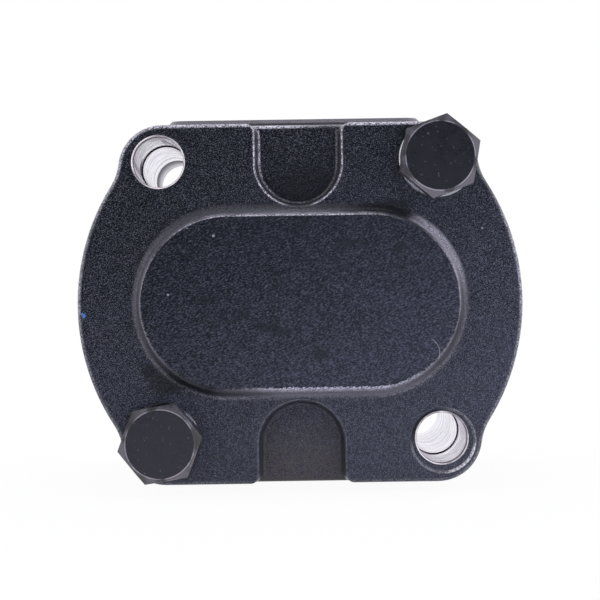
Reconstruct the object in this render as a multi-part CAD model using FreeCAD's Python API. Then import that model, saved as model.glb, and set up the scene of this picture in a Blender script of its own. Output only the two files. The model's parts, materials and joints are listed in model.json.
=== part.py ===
import FreeCAD, Part
import math
import os

# External gear pump: three castings in a stack, two meshing gears in plain bushes.
# Millimetres. X runs from the drive gear to the driven gear, Y runs along the shafts
# towards the drive end, Z is up. The origin is on the drive shaft's axis, in the plane
# of the mounting face. The rear cover, at the far negative Y, is the face in the photo.

# Driving dimensions of the gear pair
TEETH = 10
AXIS_DISTANCE = 41.0
WORKING_PRESSURE_ANGLE = 25.0
TOOTH_ADDENDUM = 4.0
ROOT_CLEARANCE = 0.8
BACKLASH = 0.24
GEAR_WIDTH = 38.0
GEAR_EDGE_BREAK = 0.4
FLANK_STEPS = 5
TIP_CLEARANCE = 0.1
SIDE_CLEARANCE = 0.05

# Driving dimensions of the shafts
JOURNAL_RADIUS = 13.0
JOURNAL_CLEARANCE = 0.04
SHAFT_RADIUS = 12.5
SPLINE_ROOT_RADIUS = 10.5
SPLINE_TOOTH_WIDTH = 5.0
SPLINE_TEETH = 6
SPLINE_LENGTH = 28.0
SPLINE_RUN_OUT = 8.0
SHAFT_REACH = 46.0
SHAFT_CHAMFER = 1.5
CENTRE_HOLE_RADIUS = 3.2
CENTRE_HOLE_DEPTH = 5.5

# Driving dimensions of the bushes and the thrust plates
BUSH_WALL = 2.5
BUSH_LENGTH = 28.0
BEARING_END_GAP = 2.0
BUSH_CHAMFER = 0.6
BUSH_GROOVE_WIDTH = 3.0
BUSH_GROOVE_DEPTH = 0.8
PLATE_THICKNESS = 6.0
PLATE_FIT = 0.04
PLATE_BORE_CLEARANCE = 0.4
RELIEF_WIDTH = 9.0
RELIEF_DEPTH = 1.5
RELIEF_LAND = 7.5
PLATE_SEAL_WIDTH = 2.4
PLATE_SEAL_THICKNESS = 2.0
BACKUP_THICKNESS = 1.0
SEAL_SIDE_CLEARANCE = 0.1
SEAL_OPEN_HEIGHT = 9.0

# Driving dimensions of the castings
REAR_SLAB = 42.0
FRONT_SLAB = 45.0
BOLT_SQUARE = 80.0
LUG_RADIUS = 12.65
LUG_INSET = 1.1
LUG_STAND_OUT = 3.95
LUG_BLEND_RADIUS = 16.0
CASTING_DROP = 0.9
OUTER_EDGE_ROUND = 1.5
JOINT_EDGE_BREAK = 0.5

# Raised obround boss on the rear cover, over the two blind bearing bores
BOSS_WALL = 9.6
BOSS_RISE = 4.5
BOSS_DRAFT = 1.2
BOSS_EDGE_ROUND = 0.7
BOSS_FOOT_ROUND = 2.4

# U-shaped lightening pockets in the rear cover, open at the top and bottom flats
POCKET_WIDTH = 24.6
POCKET_DEPTH = 7.5
POCKET_DRAFT = 0.9
POCKET_BOSS_OVERLAP = 0.3
POCKET_MOUTH_ROUND = 2.8
POCKET_RIM_ROUND = 0.9
POCKET_RIM_STEPS = 4
POCKET_FLOOR_ROUND = 1.0
POCKET_RUN_OUT = 5.0

# Port pads and ports on the gear housing: inlet on top, outlet below
INLET_PAD_WIDTH = 77.5
INLET_PAD_RISE = 4.7
INLET_PAD_SHIFT = -1.0
INLET_BORE_RADIUS = 12.5
INLET_SPACING_X = 52.4
INLET_SPACING_Y = 26.2
OUTLET_PAD_WIDTH = 70.0
OUTLET_PAD_RISE = 2.5
OUTLET_PAD_SHIFT = 0.0
OUTLET_BORE_RADIUS = 9.5
OUTLET_SPACING_X = 47.6
OUTLET_SPACING_Y = 22.2
PAD_CHAMFER = 1.2
PAD_SUNK = 3.0
PAD_CORNER_RADIUS = 5.0
PAD_SETBACK = 1.5
PORT_SCREW_RADIUS = 4.25
PORT_SCREW_DEPTH = 17.0
PORT_MOUTH_CHAMFER = 1.0
PORT_MOUTH_DEPTH = 16.0
PORT_PASSAGE_STEP = 1.0
PORT_END_HEIGHT = 9.8

# Fasteners and dowels
BOLT_RADIUS = 7.0
BOLT_CLEARANCE = 0.5
BOLT_HEAD_FLATS = 21.0
BOLT_HEAD_HEIGHT = 8.8
BOLT_COLLAR_RADIUS = 10.2
BOLT_COLLAR_HEIGHT = 0.6
BOLT_HEAD_CHAMFER_SHARE = 0.93
BOLT_HEAD_CHAMFER_ANGLE = 28.0
BOLT_THREAD_LENGTH = 34.0
BOLT_THREAD_ENGAGED = 26.0
THREAD_CLEARANCE = 0.2
TAPPED_EXTRA_DEPTH = 6.0
BOLT_TURNS = (20.0, 8.9)
WASHER_RADIUS = 11.0
WASHER_THICKNESS = 2.5
WASHER_EDGE_BREAK = 0.3
WASHER_OFFSETS = ((-0.25, -0.2), (0.15, 0.15))
MOUNTING_HOLE_RADIUS = 7.25
HOLE_CHAMFER = 0.3
HOLE_RELIEF_RADIUS = 7.55
HOLE_RELIEF_LENGTH = 13.0
DOWEL_RADIUS = 3.0
DOWEL_LENGTH = 16.0
DOWEL_CHAMFER = 0.5

# Shallow cast recess round the mouth of the lower mounting hole
RECESS_RADIUS = 9.2
RECESS_DEPTH = 0.7
RECESS_DRAFT = 0.4
RECESS_OFFSET_X = 0.3
RECESS_OFFSET_Z = -0.65

# Seals between the castings
BODY_SEAL_GAP = 2.2
BODY_SEAL_WIDTH = 2.4
BODY_SEAL_THICKNESS = 2.0
SEAL_EDGE_BREAK = 0.4

# Pilot, shaft seal and retaining ring in the front cover
PILOT_RADIUS = 25.4
PILOT_LENGTH = 6.0
PILOT_CHAMFER = 1.0
SEAL_BORE_RADIUS = 20.0
SEAL_BORE_LEAD = 0.5
SEAL_WIDTH = 7.0
SEAL_CASE_WALL = 1.0
SEAL_WEB_REACH = 4.5
LIP_CLEARANCE = 0.05
LIP_THICKNESS = 2.6
LIP_SET_IN = 1.6
LIP_NOSE = 1.2
DUST_LIP_LENGTH = 2.0
DUST_LIP_THICKNESS = 0.6
RUBBER_WEB = 1.6
SPRING_WIRE_RADIUS = 0.7
RING_THICKNESS = 1.75
RING_GROOVE_DEPTH = 1.25
RING_RADIAL_WIDTH = 3.4
RING_RECESS = 1.5
RING_SIDE_PLAY = 0.1
RING_GAP_ANGLE = 34.0
RING_EAR_RADIUS = 2.4
RING_EAR_HOLE_RADIUS = 1.1
SHAFT_PASSAGE_CLEARANCE = 1.0
DRAIN_RADIUS = 2.0

# How far every cutter runs past the faces that it opens
CUT_PAST = 1.0

# Positions along Y that follow from the driving dimensions
HOUSING_LENGTH = GEAR_WIDTH + 2 * (PLATE_THICKNESS + SIDE_CLEARANCE)
Y_MOUNT = 0.0
Y_FRONT_JOINT = Y_MOUNT - FRONT_SLAB
Y_REAR_JOINT = Y_FRONT_JOINT - HOUSING_LENGTH
Y_REAR_FACE = Y_REAR_JOINT - REAR_SLAB
Y_PILOT_FACE = Y_MOUNT + PILOT_LENGTH
Y_GEAR_FRONT = Y_FRONT_JOINT - PLATE_THICKNESS - SIDE_CLEARANCE
Y_GEAR_REAR = Y_GEAR_FRONT - GEAR_WIDTH
X_CENTRE = AXIS_DISTANCE / 2
AXES_X = (0.0, AXIS_DISTANCE)

# Radii and heights that follow
PITCH_RADIUS = AXIS_DISTANCE / 2
TIP_RADIUS = PITCH_RADIUS + TOOTH_ADDENDUM
ROOT_RADIUS = PITCH_RADIUS - TOOTH_ADDENDUM - ROOT_CLEARANCE
BASE_RADIUS = PITCH_RADIUS * math.cos(math.radians(WORKING_PRESSURE_ANGLE))
HALF_SQUARE = BOLT_SQUARE / 2
LUG_CENTRE = HALF_SQUARE - LUG_INSET
FLAT_HEIGHT = LUG_CENTRE + LUG_RADIUS
BARREL_RADIUS = math.hypot(LUG_CENTRE, LUG_CENTRE) + LUG_RADIUS - LUG_STAND_OUT
HOUSING_BORE = TIP_RADIUS + TIP_CLEARANCE
BUSH_RADIUS = JOURNAL_RADIUS + JOURNAL_CLEARANCE + BUSH_WALL
BEARING_DEPTH = BUSH_LENGTH + BEARING_END_GAP
JOURNAL_LENGTH = PLATE_THICKNESS + SIDE_CLEARANCE + BUSH_LENGTH
BOSS_RADIUS = BUSH_RADIUS + BOSS_WALL
BOSS_FOOT_RADIUS = BOSS_RADIUS + BOSS_DRAFT
BOSS_WALL_ANGLE = math.atan2(BOSS_RISE, BOSS_DRAFT)
BOSS_ROUND_REACH = BOSS_FOOT_ROUND * math.tan(BOSS_WALL_ANGLE / 2)
BODY_SEAL_INNER = HOUSING_BORE + BODY_SEAL_GAP
BODY_SEAL_OUTER = BODY_SEAL_INNER + BODY_SEAL_WIDTH
DOWEL_REACH = (X_CENTRE + BODY_SEAL_OUTER + BARREL_RADIUS) / 2
BOLT_HOLE_RADIUS = BOLT_RADIUS + BOLT_CLEARANCE
BOLT_HEAD_REACH = BOLT_HEAD_FLATS / math.sqrt(3)
BOLT_SEAT_Y = Y_REAR_FACE - WASHER_THICKNESS
SEAL_CASE_LIP_RADIUS = SEAL_BORE_RADIUS - SEAL_WEB_REACH
RING_FRONT_Y = Y_PILOT_FACE - RING_RECESS
SEAL_FRONT_Y = RING_FRONT_Y - RING_THICKNESS - RING_SIDE_PLAY
SEAL_BACK_Y = SEAL_FRONT_Y - SEAL_WIDTH
LIP_RADIUS = SHAFT_RADIUS + LIP_CLEARANCE
OPEN_CORNERS = ((-1, 1), (1, -1))
BOLTED_CORNERS = ((1, 1), (-1, -1))


def at(x, y, z):
    return FreeCAD.Vector(x, y, z)


def cylinder(radius, y0, y1, x=0.0, z=0.0):
    """A round bar along Y from y0 to y1."""
    return Part.makeCylinder(radius, y1 - y0, at(x, y0, z), at(0, 1, 0))


def cone(radius0, radius1, y0, y1, x=0.0, z=0.0):
    """A taper along Y from radius0 at y0 to radius1 at y1."""
    return Part.makeCone(radius0, radius1, y1 - y0, at(x, y0, z), at(0, 1, 0))


def turned(profile):
    """Revolves (radius, y) points about the drive axis."""
    points = [at(r, y, 0) for r, y in profile]
    wire = Part.makePolygon(points + [points[0]])
    return Part.Face(wire).revolve(at(0, 0, 0), at(0, 1, 0), 360)


def prism(wire, y0, y1):
    """Extrudes a wire that lies in the plane y = 0 from y0 to y1."""
    face = Part.Face(wire)
    face.translate(at(0, y0, 0))
    return face.extrude(at(0, y1 - y0, 0))


def arc_between(centre, radius, start, end):
    """The short arc of a circle from start to end."""
    middle = (start - centre) + (end - centre)
    middle.normalize()
    return Part.Arc(start, centre + middle * radius, end).toShape()


def line(start, end):
    return Part.LineSegment(start, end).toShape()


def obround_wire(radius):
    """A racetrack outline in the plane y = 0 round both gear axes."""
    left, right = AXES_X
    left_top = at(left, 0, radius)
    right_top = at(right, 0, radius)
    left_low = at(left, 0, -radius)
    right_low = at(right, 0, -radius)
    left_end = Part.Arc(left_low, at(left - radius, 0, 0), left_top).toShape()
    right_end = Part.Arc(right_top, at(right + radius, 0, 0), right_low).toShape()
    return Part.Wire([left_end, line(left_top, right_top), right_end, line(right_low, left_low)])


def edges_at(solid, y, keep=lambda edge: True):
    """Edges that lie wholly in the plane at y."""
    found = []
    for edge in solid.Edges:
        box = edge.BoundBox
        if abs(box.YMin - y) < 0.001 and abs(box.YMax - y) < 0.001 and keep(edge):
            found.append(edge)
    return found


def casting_outline():
    """The outline that all three castings share: round barrel, flat top and bottom, four lugs."""
    centre = at(X_CENTRE, 0, -CASTING_DROP)
    lug_reach = LUG_RADIUS + LUG_BLEND_RADIUS
    barrel_reach = BARREL_RADIUS + LUG_BLEND_RADIUS
    lug_distance = math.hypot(LUG_CENTRE, LUG_CENTRE)
    cosine = (barrel_reach**2 + lug_distance**2 - lug_reach**2) / (2 * barrel_reach * lug_distance)
    blend_angle = math.radians(45) - math.acos(cosine)
    top = at(LUG_CENTRE, 0, FLAT_HEIGHT)
    lug = at(LUG_CENTRE, 0, LUG_CENTRE)
    blend = at(barrel_reach * math.cos(blend_angle), 0, barrel_reach * math.sin(blend_angle))
    on_barrel = blend * (BARREL_RADIUS / barrel_reach)
    on_lug = lug + (blend - lug) * (LUG_RADIUS / lug_reach)

    def corner(point, sx, sz):
        return centre + at(point.x * sx, 0, point.z * sz)

    def lug_edges(sx, sz):
        lug_arc = arc_between(
            corner(lug, sx, sz), LUG_RADIUS, corner(top, sx, sz), corner(on_lug, sx, sz)
        )
        blend_arc = arc_between(
            corner(blend, sx, sz),
            LUG_BLEND_RADIUS,
            corner(on_lug, sx, sz),
            corner(on_barrel, sx, sz),
        )
        return [lug_arc, blend_arc]

    def side_edge(sx):
        return Part.Arc(
            corner(on_barrel, sx, 1), centre + at(BARREL_RADIUS * sx, 0, 0), corner(on_barrel, sx, -1)
        ).toShape()

    def flat_edge(sz):
        return line(corner(top, -1, sz), corner(top, 1, sz))

    edges = [flat_edge(1), side_edge(1), flat_edge(-1), side_edge(-1)]
    for sx in (1, -1):
        for sz in (1, -1):
            edges += lug_edges(sx, sz)
    return Part.Wire(Part.__sortEdges__(edges))


def casting_blank(y0, y1):
    return prism(casting_outline(), y0, y1)


def corner_xz(corner):
    """Centre of one bolt or mounting hole."""
    return X_CENTRE + corner[0] * HALF_SQUARE, corner[1] * HALF_SQUARE


def chamfered_hole(radius, y0, y1, x, z, chamfer=HOLE_CHAMFER):
    """A drilled hole between two faces with both mouths broken."""
    hole = cylinder(radius, y0 - CUT_PAST, y1 + CUT_PAST, x, z)
    mouth = radius + chamfer
    low = cone(mouth + CUT_PAST, mouth - chamfer, y0 - CUT_PAST, y0 + chamfer, x, z)
    high = cone(mouth - chamfer, mouth + CUT_PAST, y1 - chamfer, y1 + CUT_PAST, x, z)
    return hole.fuse([low, high])


def seal_ring(y0, y1, clearance=0.0):
    """The racetrack seal round the gear chamber, or its groove."""
    outer = prism(obround_wire(BODY_SEAL_OUTER + clearance), y0, y1)
    inner = prism(obround_wire(BODY_SEAL_INNER - clearance), y0 - CUT_PAST, y1 + CUT_PAST)
    return outer.cut(inner)


def dowel_places():
    return [X_CENTRE - DOWEL_REACH, X_CENTRE + DOWEL_REACH]


def rear_cover():
    solid = casting_blank(Y_REAR_FACE, Y_REAR_JOINT)
    solid = solid.makeFillet(OUTER_EDGE_ROUND, edges_at(solid, Y_REAR_FACE))
    solid = solid.makeChamfer(JOINT_EDGE_BREAK, edges_at(solid, Y_REAR_JOINT))
    solid = solid.fuse(cover_boss()).removeSplitter()
    solid = solid.makeFillet(BOSS_FOOT_ROUND, edges_at(solid, Y_REAR_FACE, near_boss))
    cutters = [cover_pocket(1), cover_pocket(-1)]
    for x in AXES_X:
        cutters.append(bearing_bore(x, Y_REAR_JOINT, -1))
    relief_start = Y_REAR_JOINT - HOLE_RELIEF_LENGTH
    past_joint = Y_REAR_JOINT + CUT_PAST
    for corner in OPEN_CORNERS:
        x, z = corner_xz(corner)
        cutters.append(chamfered_hole(MOUNTING_HOLE_RADIUS, Y_REAR_FACE, Y_REAR_JOINT, x, z))
        cutters.append(cylinder(HOLE_RELIEF_RADIUS, relief_start, past_joint, x, z))
    cutters.append(hole_recess())
    for corner in BOLTED_CORNERS:
        x, z = corner_xz(corner)
        cutters.append(cylinder(BOLT_HOLE_RADIUS, Y_REAR_FACE - CUT_PAST, past_joint, x, z))
    for x in dowel_places():
        cutters.append(cylinder(DOWEL_RADIUS, Y_REAR_JOINT - DOWEL_LENGTH / 2, past_joint, x))
    groove_floor = Y_REAR_JOINT - BODY_SEAL_THICKNESS
    cutters.append(seal_ring(groove_floor, past_joint, SEAL_SIDE_CLEARANCE))
    return solid.cut(cutters)


def hole_recess():
    """Cutter for the shallow round recess, a little off the hole's centre as cast."""
    x, z = corner_xz(OPEN_CORNERS[1])
    spread = RECESS_DRAFT * CUT_PAST / RECESS_DEPTH
    return cone(
        RECESS_RADIUS + spread,
        RECESS_RADIUS - RECESS_DRAFT,
        Y_REAR_FACE - CUT_PAST,
        Y_REAR_FACE + RECESS_DEPTH,
        x + RECESS_OFFSET_X,
        z + RECESS_OFFSET_Z,
    )


def cover_boss():
    """Obround boss with drafted sides and a rounded crest."""
    crest = obround_wire(BOSS_RADIUS)
    crest.translate(at(0, Y_REAR_FACE - BOSS_RISE, -CASTING_DROP))
    foot = obround_wire(BOSS_FOOT_RADIUS)
    foot.translate(at(0, Y_REAR_FACE, -CASTING_DROP))
    boss = Part.makeLoft([crest, foot], True, True)
    return boss.makeFillet(BOSS_EDGE_ROUND, edges_at(boss, Y_REAR_FACE - BOSS_RISE))


def near_boss(edge):
    """True for the edges round the foot of the boss."""
    box = edge.BoundBox
    reach = BOSS_FOOT_RADIUS + BOSS_ROUND_REACH
    return box.ZMax + CASTING_DROP < reach and box.ZMin + CASTING_DROP > -reach


def pocket_outline(half_width, y, side):
    """U outline of a pocket at one depth, flared where it opens through the flat."""
    boss_foot = BOSS_FOOT_RADIUS + BOSS_ROUND_REACH
    arch = boss_foot - POCKET_BOSS_OVERLAP + POCKET_WIDTH / 2
    mouth = FLAT_HEIGHT - POCKET_MOUTH_ROUND
    beyond = FLAT_HEIGHT + POCKET_RUN_OUT
    lip = half_width + POCKET_MOUTH_ROUND
    middle = POCKET_MOUTH_ROUND * math.sqrt(0.5)

    def place(x, z):
        return at(X_CENTRE + x, y, side * z - CASTING_DROP)

    def flare(sx):
        start = place(sx * half_width, mouth)
        bend = place(sx * (lip - middle), mouth + middle)
        end = place(sx * lip, FLAT_HEIGHT)
        return Part.Arc(start, bend, end).toShape()

    arch_curve = Part.Arc(
        place(-half_width, arch), place(0, arch - half_width), place(half_width, arch)
    ).toShape()
    edges = [
        arch_curve,
        line(place(half_width, arch), place(half_width, mouth)),
        flare(1),
        line(place(lip, FLAT_HEIGHT), place(lip, beyond)),
        line(place(lip, beyond), place(-lip, beyond)),
        line(place(-lip, beyond), place(-lip, FLAT_HEIGHT)),
        flare(-1),
        line(place(-half_width, mouth), place(-half_width, arch)),
    ]
    return Part.Wire(edges)


def cover_pocket(side):
    """Cutter for one pocket: rounded rim, drafted walls and rounded floor."""
    wall_half = POCKET_WIDTH / 2
    rim_half = wall_half + POCKET_RIM_ROUND
    floor_y = Y_REAR_FACE + POCKET_DEPTH
    sections = [pocket_outline(rim_half, Y_REAR_FACE - CUT_PAST, side)]
    for step in range(POCKET_RIM_STEPS + 1):
        angle = math.pi / 2 * step / POCKET_RIM_STEPS
        half = rim_half - POCKET_RIM_ROUND * math.sin(angle)
        y = Y_REAR_FACE + POCKET_RIM_ROUND * (1 - math.cos(angle))
        sections.append(pocket_outline(half, y, side))
    sections.append(pocket_outline(wall_half - POCKET_DRAFT, floor_y, side))
    cutter = Part.makeLoft(sections, True, True)
    cutter = cutter.makeFillet(POCKET_FLOOR_ROUND, edges_at(cutter, floor_y))
    return cutter.fuse(floor_edge(side))


def floor_edge(side):
    """Cutter that rounds a pocket floor's edge where it runs out through the flat."""
    floor_y = Y_REAR_FACE + POCKET_DEPTH
    floor_half = POCKET_WIDTH / 2 - POCKET_DRAFT
    outline = pocket_outline(floor_half, 0.0, side)
    strip = prism(outline, floor_y - POCKET_FLOOR_ROUND, floor_y + OUTER_EDGE_ROUND)
    round_y = floor_y + OUTER_EDGE_ROUND
    round_z = side * (FLAT_HEIGHT - OUTER_EDGE_ROUND) - CASTING_DROP
    start = at(X_CENTRE - POCKET_WIDTH, round_y, round_z)
    bar = Part.makeCylinder(OUTER_EDGE_ROUND, 2 * POCKET_WIDTH, start, at(1, 0, 0))
    corner = at(X_CENTRE - POCKET_WIDTH, floor_y - POCKET_WIDTH, round_z)
    inside = Part.makeBox(2 * POCKET_WIDTH, 2 * POCKET_WIDTH, FLAT_HEIGHT, corner)
    if side > 0:
        inside.translate(at(0, 0, -FLAT_HEIGHT))
    return strip.cut([bar, inside])


def bearing_bore(x, y_joint, direction):
    """Blind bore for a bush, cut from a joint face."""
    ends = sorted((y_joint - direction, y_joint + direction * BEARING_DEPTH))
    return cylinder(BUSH_RADIUS, ends[0], ends[1], x)


def port_pad(width, rise, shift, side):
    """A chamfered pad that stands on the top or bottom flat of the housing."""
    flat = side * FLAT_HEIGHT - CASTING_DROP
    length = HOUSING_LENGTH - 2 * PAD_SETBACK
    corner = at(X_CENTRE + shift - width / 2, Y_REAR_JOINT + PAD_SETBACK, flat - PAD_SUNK)
    pad = Part.makeBox(width, length, PAD_SUNK + rise, corner)
    if side < 0:
        pad = pad.mirror(at(0, 0, flat), at(0, 0, 1))
    uprights = [edge for edge in pad.Edges if edge.BoundBox.ZLength > PAD_SUNK]
    pad = pad.makeFillet(PAD_CORNER_RADIUS, uprights)
    face_z = flat + side * rise
    rim = [
        edge
        for edge in pad.Edges
        if abs(edge.BoundBox.ZMin - face_z) < 0.001 and abs(edge.BoundBox.ZMax - face_z) < 0.001
    ]
    return pad.makeChamfer(PAD_CHAMFER, rim)


def port_cutters(rise, shift, side, bore_radius, spacing_x, spacing_y):
    """The port's machined mouth, the passage behind it and the four tapped holes of its pad."""
    face_z = side * (FLAT_HEIGHT + rise) - CASTING_DROP
    y_middle = (Y_FRONT_JOINT + Y_REAR_JOINT) / 2
    x_port = X_CENTRE + shift
    inward = at(0, 0, -side)
    mouth = at(x_port, y_middle, face_z)
    passage_radius = bore_radius - PORT_PASSAGE_STEP
    chamfer_radius = bore_radius + PORT_MOUTH_CHAMFER
    cutters = [
        Part.makeCylinder(bore_radius, PORT_MOUTH_DEPTH, mouth, inward),
        Part.makeCylinder(passage_radius, abs(face_z) - PORT_END_HEIGHT, mouth, inward),
        Part.makeCone(chamfer_radius, bore_radius, PORT_MOUTH_CHAMFER, mouth, inward),
    ]
    for sx in (-1, 1):
        for sy in (-1, 1):
            place = at(x_port + sx * spacing_x / 2, y_middle + sy * spacing_y / 2, face_z)
            cutters.append(Part.makeCylinder(PORT_SCREW_RADIUS, PORT_SCREW_DEPTH, place, inward))
    return cutters


def gear_housing():
    solid = casting_blank(Y_REAR_JOINT, Y_FRONT_JOINT)
    ends = edges_at(solid, Y_REAR_JOINT) + edges_at(solid, Y_FRONT_JOINT)
    solid = solid.makeChamfer(JOINT_EDGE_BREAK, ends)
    solid = solid.fuse(
        [
            port_pad(INLET_PAD_WIDTH, INLET_PAD_RISE, INLET_PAD_SHIFT, 1),
            port_pad(OUTLET_PAD_WIDTH, OUTLET_PAD_RISE, OUTLET_PAD_SHIFT, -1),
        ]
    ).removeSplitter()
    cutters = port_cutters(
        INLET_PAD_RISE, INLET_PAD_SHIFT, 1, INLET_BORE_RADIUS, INLET_SPACING_X, INLET_SPACING_Y
    )
    cutters += port_cutters(
        OUTLET_PAD_RISE, OUTLET_PAD_SHIFT, -1, OUTLET_BORE_RADIUS, OUTLET_SPACING_X, OUTLET_SPACING_Y
    )
    for x in AXES_X:
        cutters.append(cylinder(HOUSING_BORE, Y_REAR_JOINT - CUT_PAST, Y_FRONT_JOINT + CUT_PAST, x))
    for corner in OPEN_CORNERS:
        x, z = corner_xz(corner)
        cutters.append(chamfered_hole(MOUNTING_HOLE_RADIUS, Y_REAR_JOINT, Y_FRONT_JOINT, x, z))
    for corner in BOLTED_CORNERS:
        x, z = corner_xz(corner)
        cutters.append(chamfered_hole(BOLT_HOLE_RADIUS, Y_REAR_JOINT, Y_FRONT_JOINT, x, z))
    for x in dowel_places():
        for y in (Y_REAR_JOINT, Y_FRONT_JOINT):
            half = DOWEL_LENGTH / 2
            cutters.append(cylinder(DOWEL_RADIUS, y - half, y + half, x))
    return solid.cut(cutters)


def front_cover():
    solid = casting_blank(Y_FRONT_JOINT, Y_MOUNT)
    ends = edges_at(solid, Y_FRONT_JOINT) + edges_at(solid, Y_MOUNT)
    solid = solid.makeChamfer(JOINT_EDGE_BREAK, ends)
    pilot = cylinder(PILOT_RADIUS, Y_MOUNT - CUT_PAST, Y_PILOT_FACE)
    pilot = pilot.makeChamfer(PILOT_CHAMFER, edges_at(pilot, Y_PILOT_FACE))
    solid = solid.fuse(pilot).removeSplitter()
    cutters = [bearing_bore(x, Y_FRONT_JOINT, 1) for x in AXES_X]
    cutters.append(seal_chamber())
    cutters.append(drain_hole())
    for corner in OPEN_CORNERS:
        x, z = corner_xz(corner)
        cutters.append(chamfered_hole(MOUNTING_HOLE_RADIUS, Y_FRONT_JOINT, Y_MOUNT, x, z))
    past_joint = Y_FRONT_JOINT - CUT_PAST
    tapped_end = Y_FRONT_JOINT + BOLT_THREAD_ENGAGED + TAPPED_EXTRA_DEPTH
    for corner in BOLTED_CORNERS:
        x, z = corner_xz(corner)
        cutters.append(cylinder(BOLT_RADIUS, past_joint, tapped_end, x, z))
    for x in dowel_places():
        cutters.append(cylinder(DOWEL_RADIUS, past_joint, Y_FRONT_JOINT + DOWEL_LENGTH / 2, x))
    groove_floor = Y_FRONT_JOINT + BODY_SEAL_THICKNESS
    cutters.append(seal_ring(past_joint, groove_floor, SEAL_SIDE_CLEARANCE))
    return solid.cut(cutters)


def seal_chamber():
    """Bore for the shaft seal with its ring groove, and the shaft's passage behind it."""
    past_pilot = Y_PILOT_FACE + CUT_PAST
    chamber = cylinder(SEAL_BORE_RADIUS, SEAL_BACK_Y, past_pilot)
    lead_y = Y_PILOT_FACE - SEAL_BORE_LEAD
    lead_radius = SEAL_BORE_RADIUS + SEAL_BORE_LEAD + CUT_PAST
    lead = cone(SEAL_BORE_RADIUS, lead_radius, lead_y, past_pilot)
    groove = cylinder(SEAL_BORE_RADIUS + RING_GROOVE_DEPTH, RING_FRONT_Y - RING_THICKNESS, RING_FRONT_Y)
    passage = cylinder(JOURNAL_RADIUS + SHAFT_PASSAGE_CLEARANCE, Y_FRONT_JOINT, SEAL_FRONT_Y)
    return chamber.fuse([lead, groove, passage])


def drain_hole():
    """Slanted drilling that leads leakage from the driven bearing to the seal chamber."""
    start = at(AXIS_DISTANCE - JOURNAL_RADIUS / 2, Y_FRONT_JOINT + BUSH_LENGTH, 0)
    end = at(JOURNAL_RADIUS, SEAL_BACK_Y - 2 * DRAIN_RADIUS, 0)
    run = end - start
    return Part.makeCylinder(DRAIN_RADIUS, run.Length, start, run)


def tooth_half_angle(radius):
    """Half the angle that one tooth fills at a radius outside the base circle."""
    width_at_pitch = math.pi * PITCH_RADIUS / TEETH - BACKLASH / 2
    half_at_pitch = width_at_pitch / (2 * PITCH_RADIUS)
    pressure_angle = math.acos(min(1.0, BASE_RADIUS / radius))
    return half_at_pitch + involute(math.radians(WORKING_PRESSURE_ANGLE)) - involute(pressure_angle)


def involute(angle):
    return math.tan(angle) - angle


def polar(radius, angle):
    return at(radius * math.cos(angle), 0, radius * math.sin(angle))


def gear_wire(turn):
    """Involute teeth joined by round gullets, in the plane y = 0."""
    flank = TIP_RADIUS - BASE_RADIUS
    radii = [BASE_RADIUS + flank * (i / FLANK_STEPS) ** 1.5 for i in range(FLANK_STEPS + 1)]
    edges = []
    for tooth in range(TEETH):
        middle = turn + 2 * math.pi * tooth / TEETH
        gullet = middle + math.pi / TEETH
        next_tooth = middle + 2 * math.pi / TEETH
        rising = [polar(r, middle - tooth_half_angle(r)) for r in radii]
        falling = [polar(r, middle + tooth_half_angle(r)) for r in reversed(radii)]
        landing = polar(BASE_RADIUS, next_tooth - tooth_half_angle(BASE_RADIUS))
        edges.append(smooth_curve(rising))
        edges.append(Part.Arc(rising[-1], polar(TIP_RADIUS, middle), falling[0]).toShape())
        edges.append(smooth_curve(falling))
        edges.append(Part.Arc(falling[-1], polar(ROOT_RADIUS, gullet), landing).toShape())
    return Part.Wire(edges)


def smooth_curve(points):
    curve = Part.BSplineCurve()
    curve.interpolate(points)
    return curve.toShape()


def gear_body(x, turn):
    """The toothed part of a gear shaft, with its tip corners broken."""
    toothed = prism(gear_wire(turn), Y_GEAR_REAR, Y_GEAR_FRONT)
    edge = GEAR_EDGE_BREAK
    tip = TIP_RADIUS + CUT_PAST
    blank = turned(
        [
            (0, Y_GEAR_REAR),
            (TIP_RADIUS - edge, Y_GEAR_REAR),
            (tip, Y_GEAR_REAR + edge + CUT_PAST),
            (tip, Y_GEAR_FRONT - edge - CUT_PAST),
            (TIP_RADIUS - edge, Y_GEAR_FRONT),
            (0, Y_GEAR_FRONT),
        ]
    )
    gear = toothed.common(blank)
    gear.translate(at(x, 0, 0))
    return gear


def centre_drilling(y_end, direction, x=0.0):
    """A 60 degree centre hole in the end of a shaft."""
    place = at(x, y_end, 0)
    countersink = Part.makeCone(
        CENTRE_HOLE_RADIUS, 0.0, CENTRE_HOLE_DEPTH, place, at(0, -direction, 0)
    )
    return countersink


def journal(x, y0, y1):
    bar = cylinder(JOURNAL_RADIUS, y0, y1, x)
    outer = y1 if y1 > Y_GEAR_FRONT else y0
    return bar.makeChamfer(SHAFT_CHAMFER / 2, edges_at(bar, outer))


def driven_gear_shaft():
    half_tooth = math.pi / TEETH
    gear = gear_body(AXIS_DISTANCE, math.pi + half_tooth)
    front = journal(AXIS_DISTANCE, Y_GEAR_FRONT, Y_GEAR_FRONT + JOURNAL_LENGTH)
    rear = journal(AXIS_DISTANCE, Y_GEAR_REAR - JOURNAL_LENGTH, Y_GEAR_REAR)
    solid = gear.fuse([front, rear])
    ends = [
        centre_drilling(Y_GEAR_FRONT + JOURNAL_LENGTH, 1, AXIS_DISTANCE),
        centre_drilling(Y_GEAR_REAR - JOURNAL_LENGTH, -1, AXIS_DISTANCE),
    ]
    return solid.cut(ends)


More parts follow.
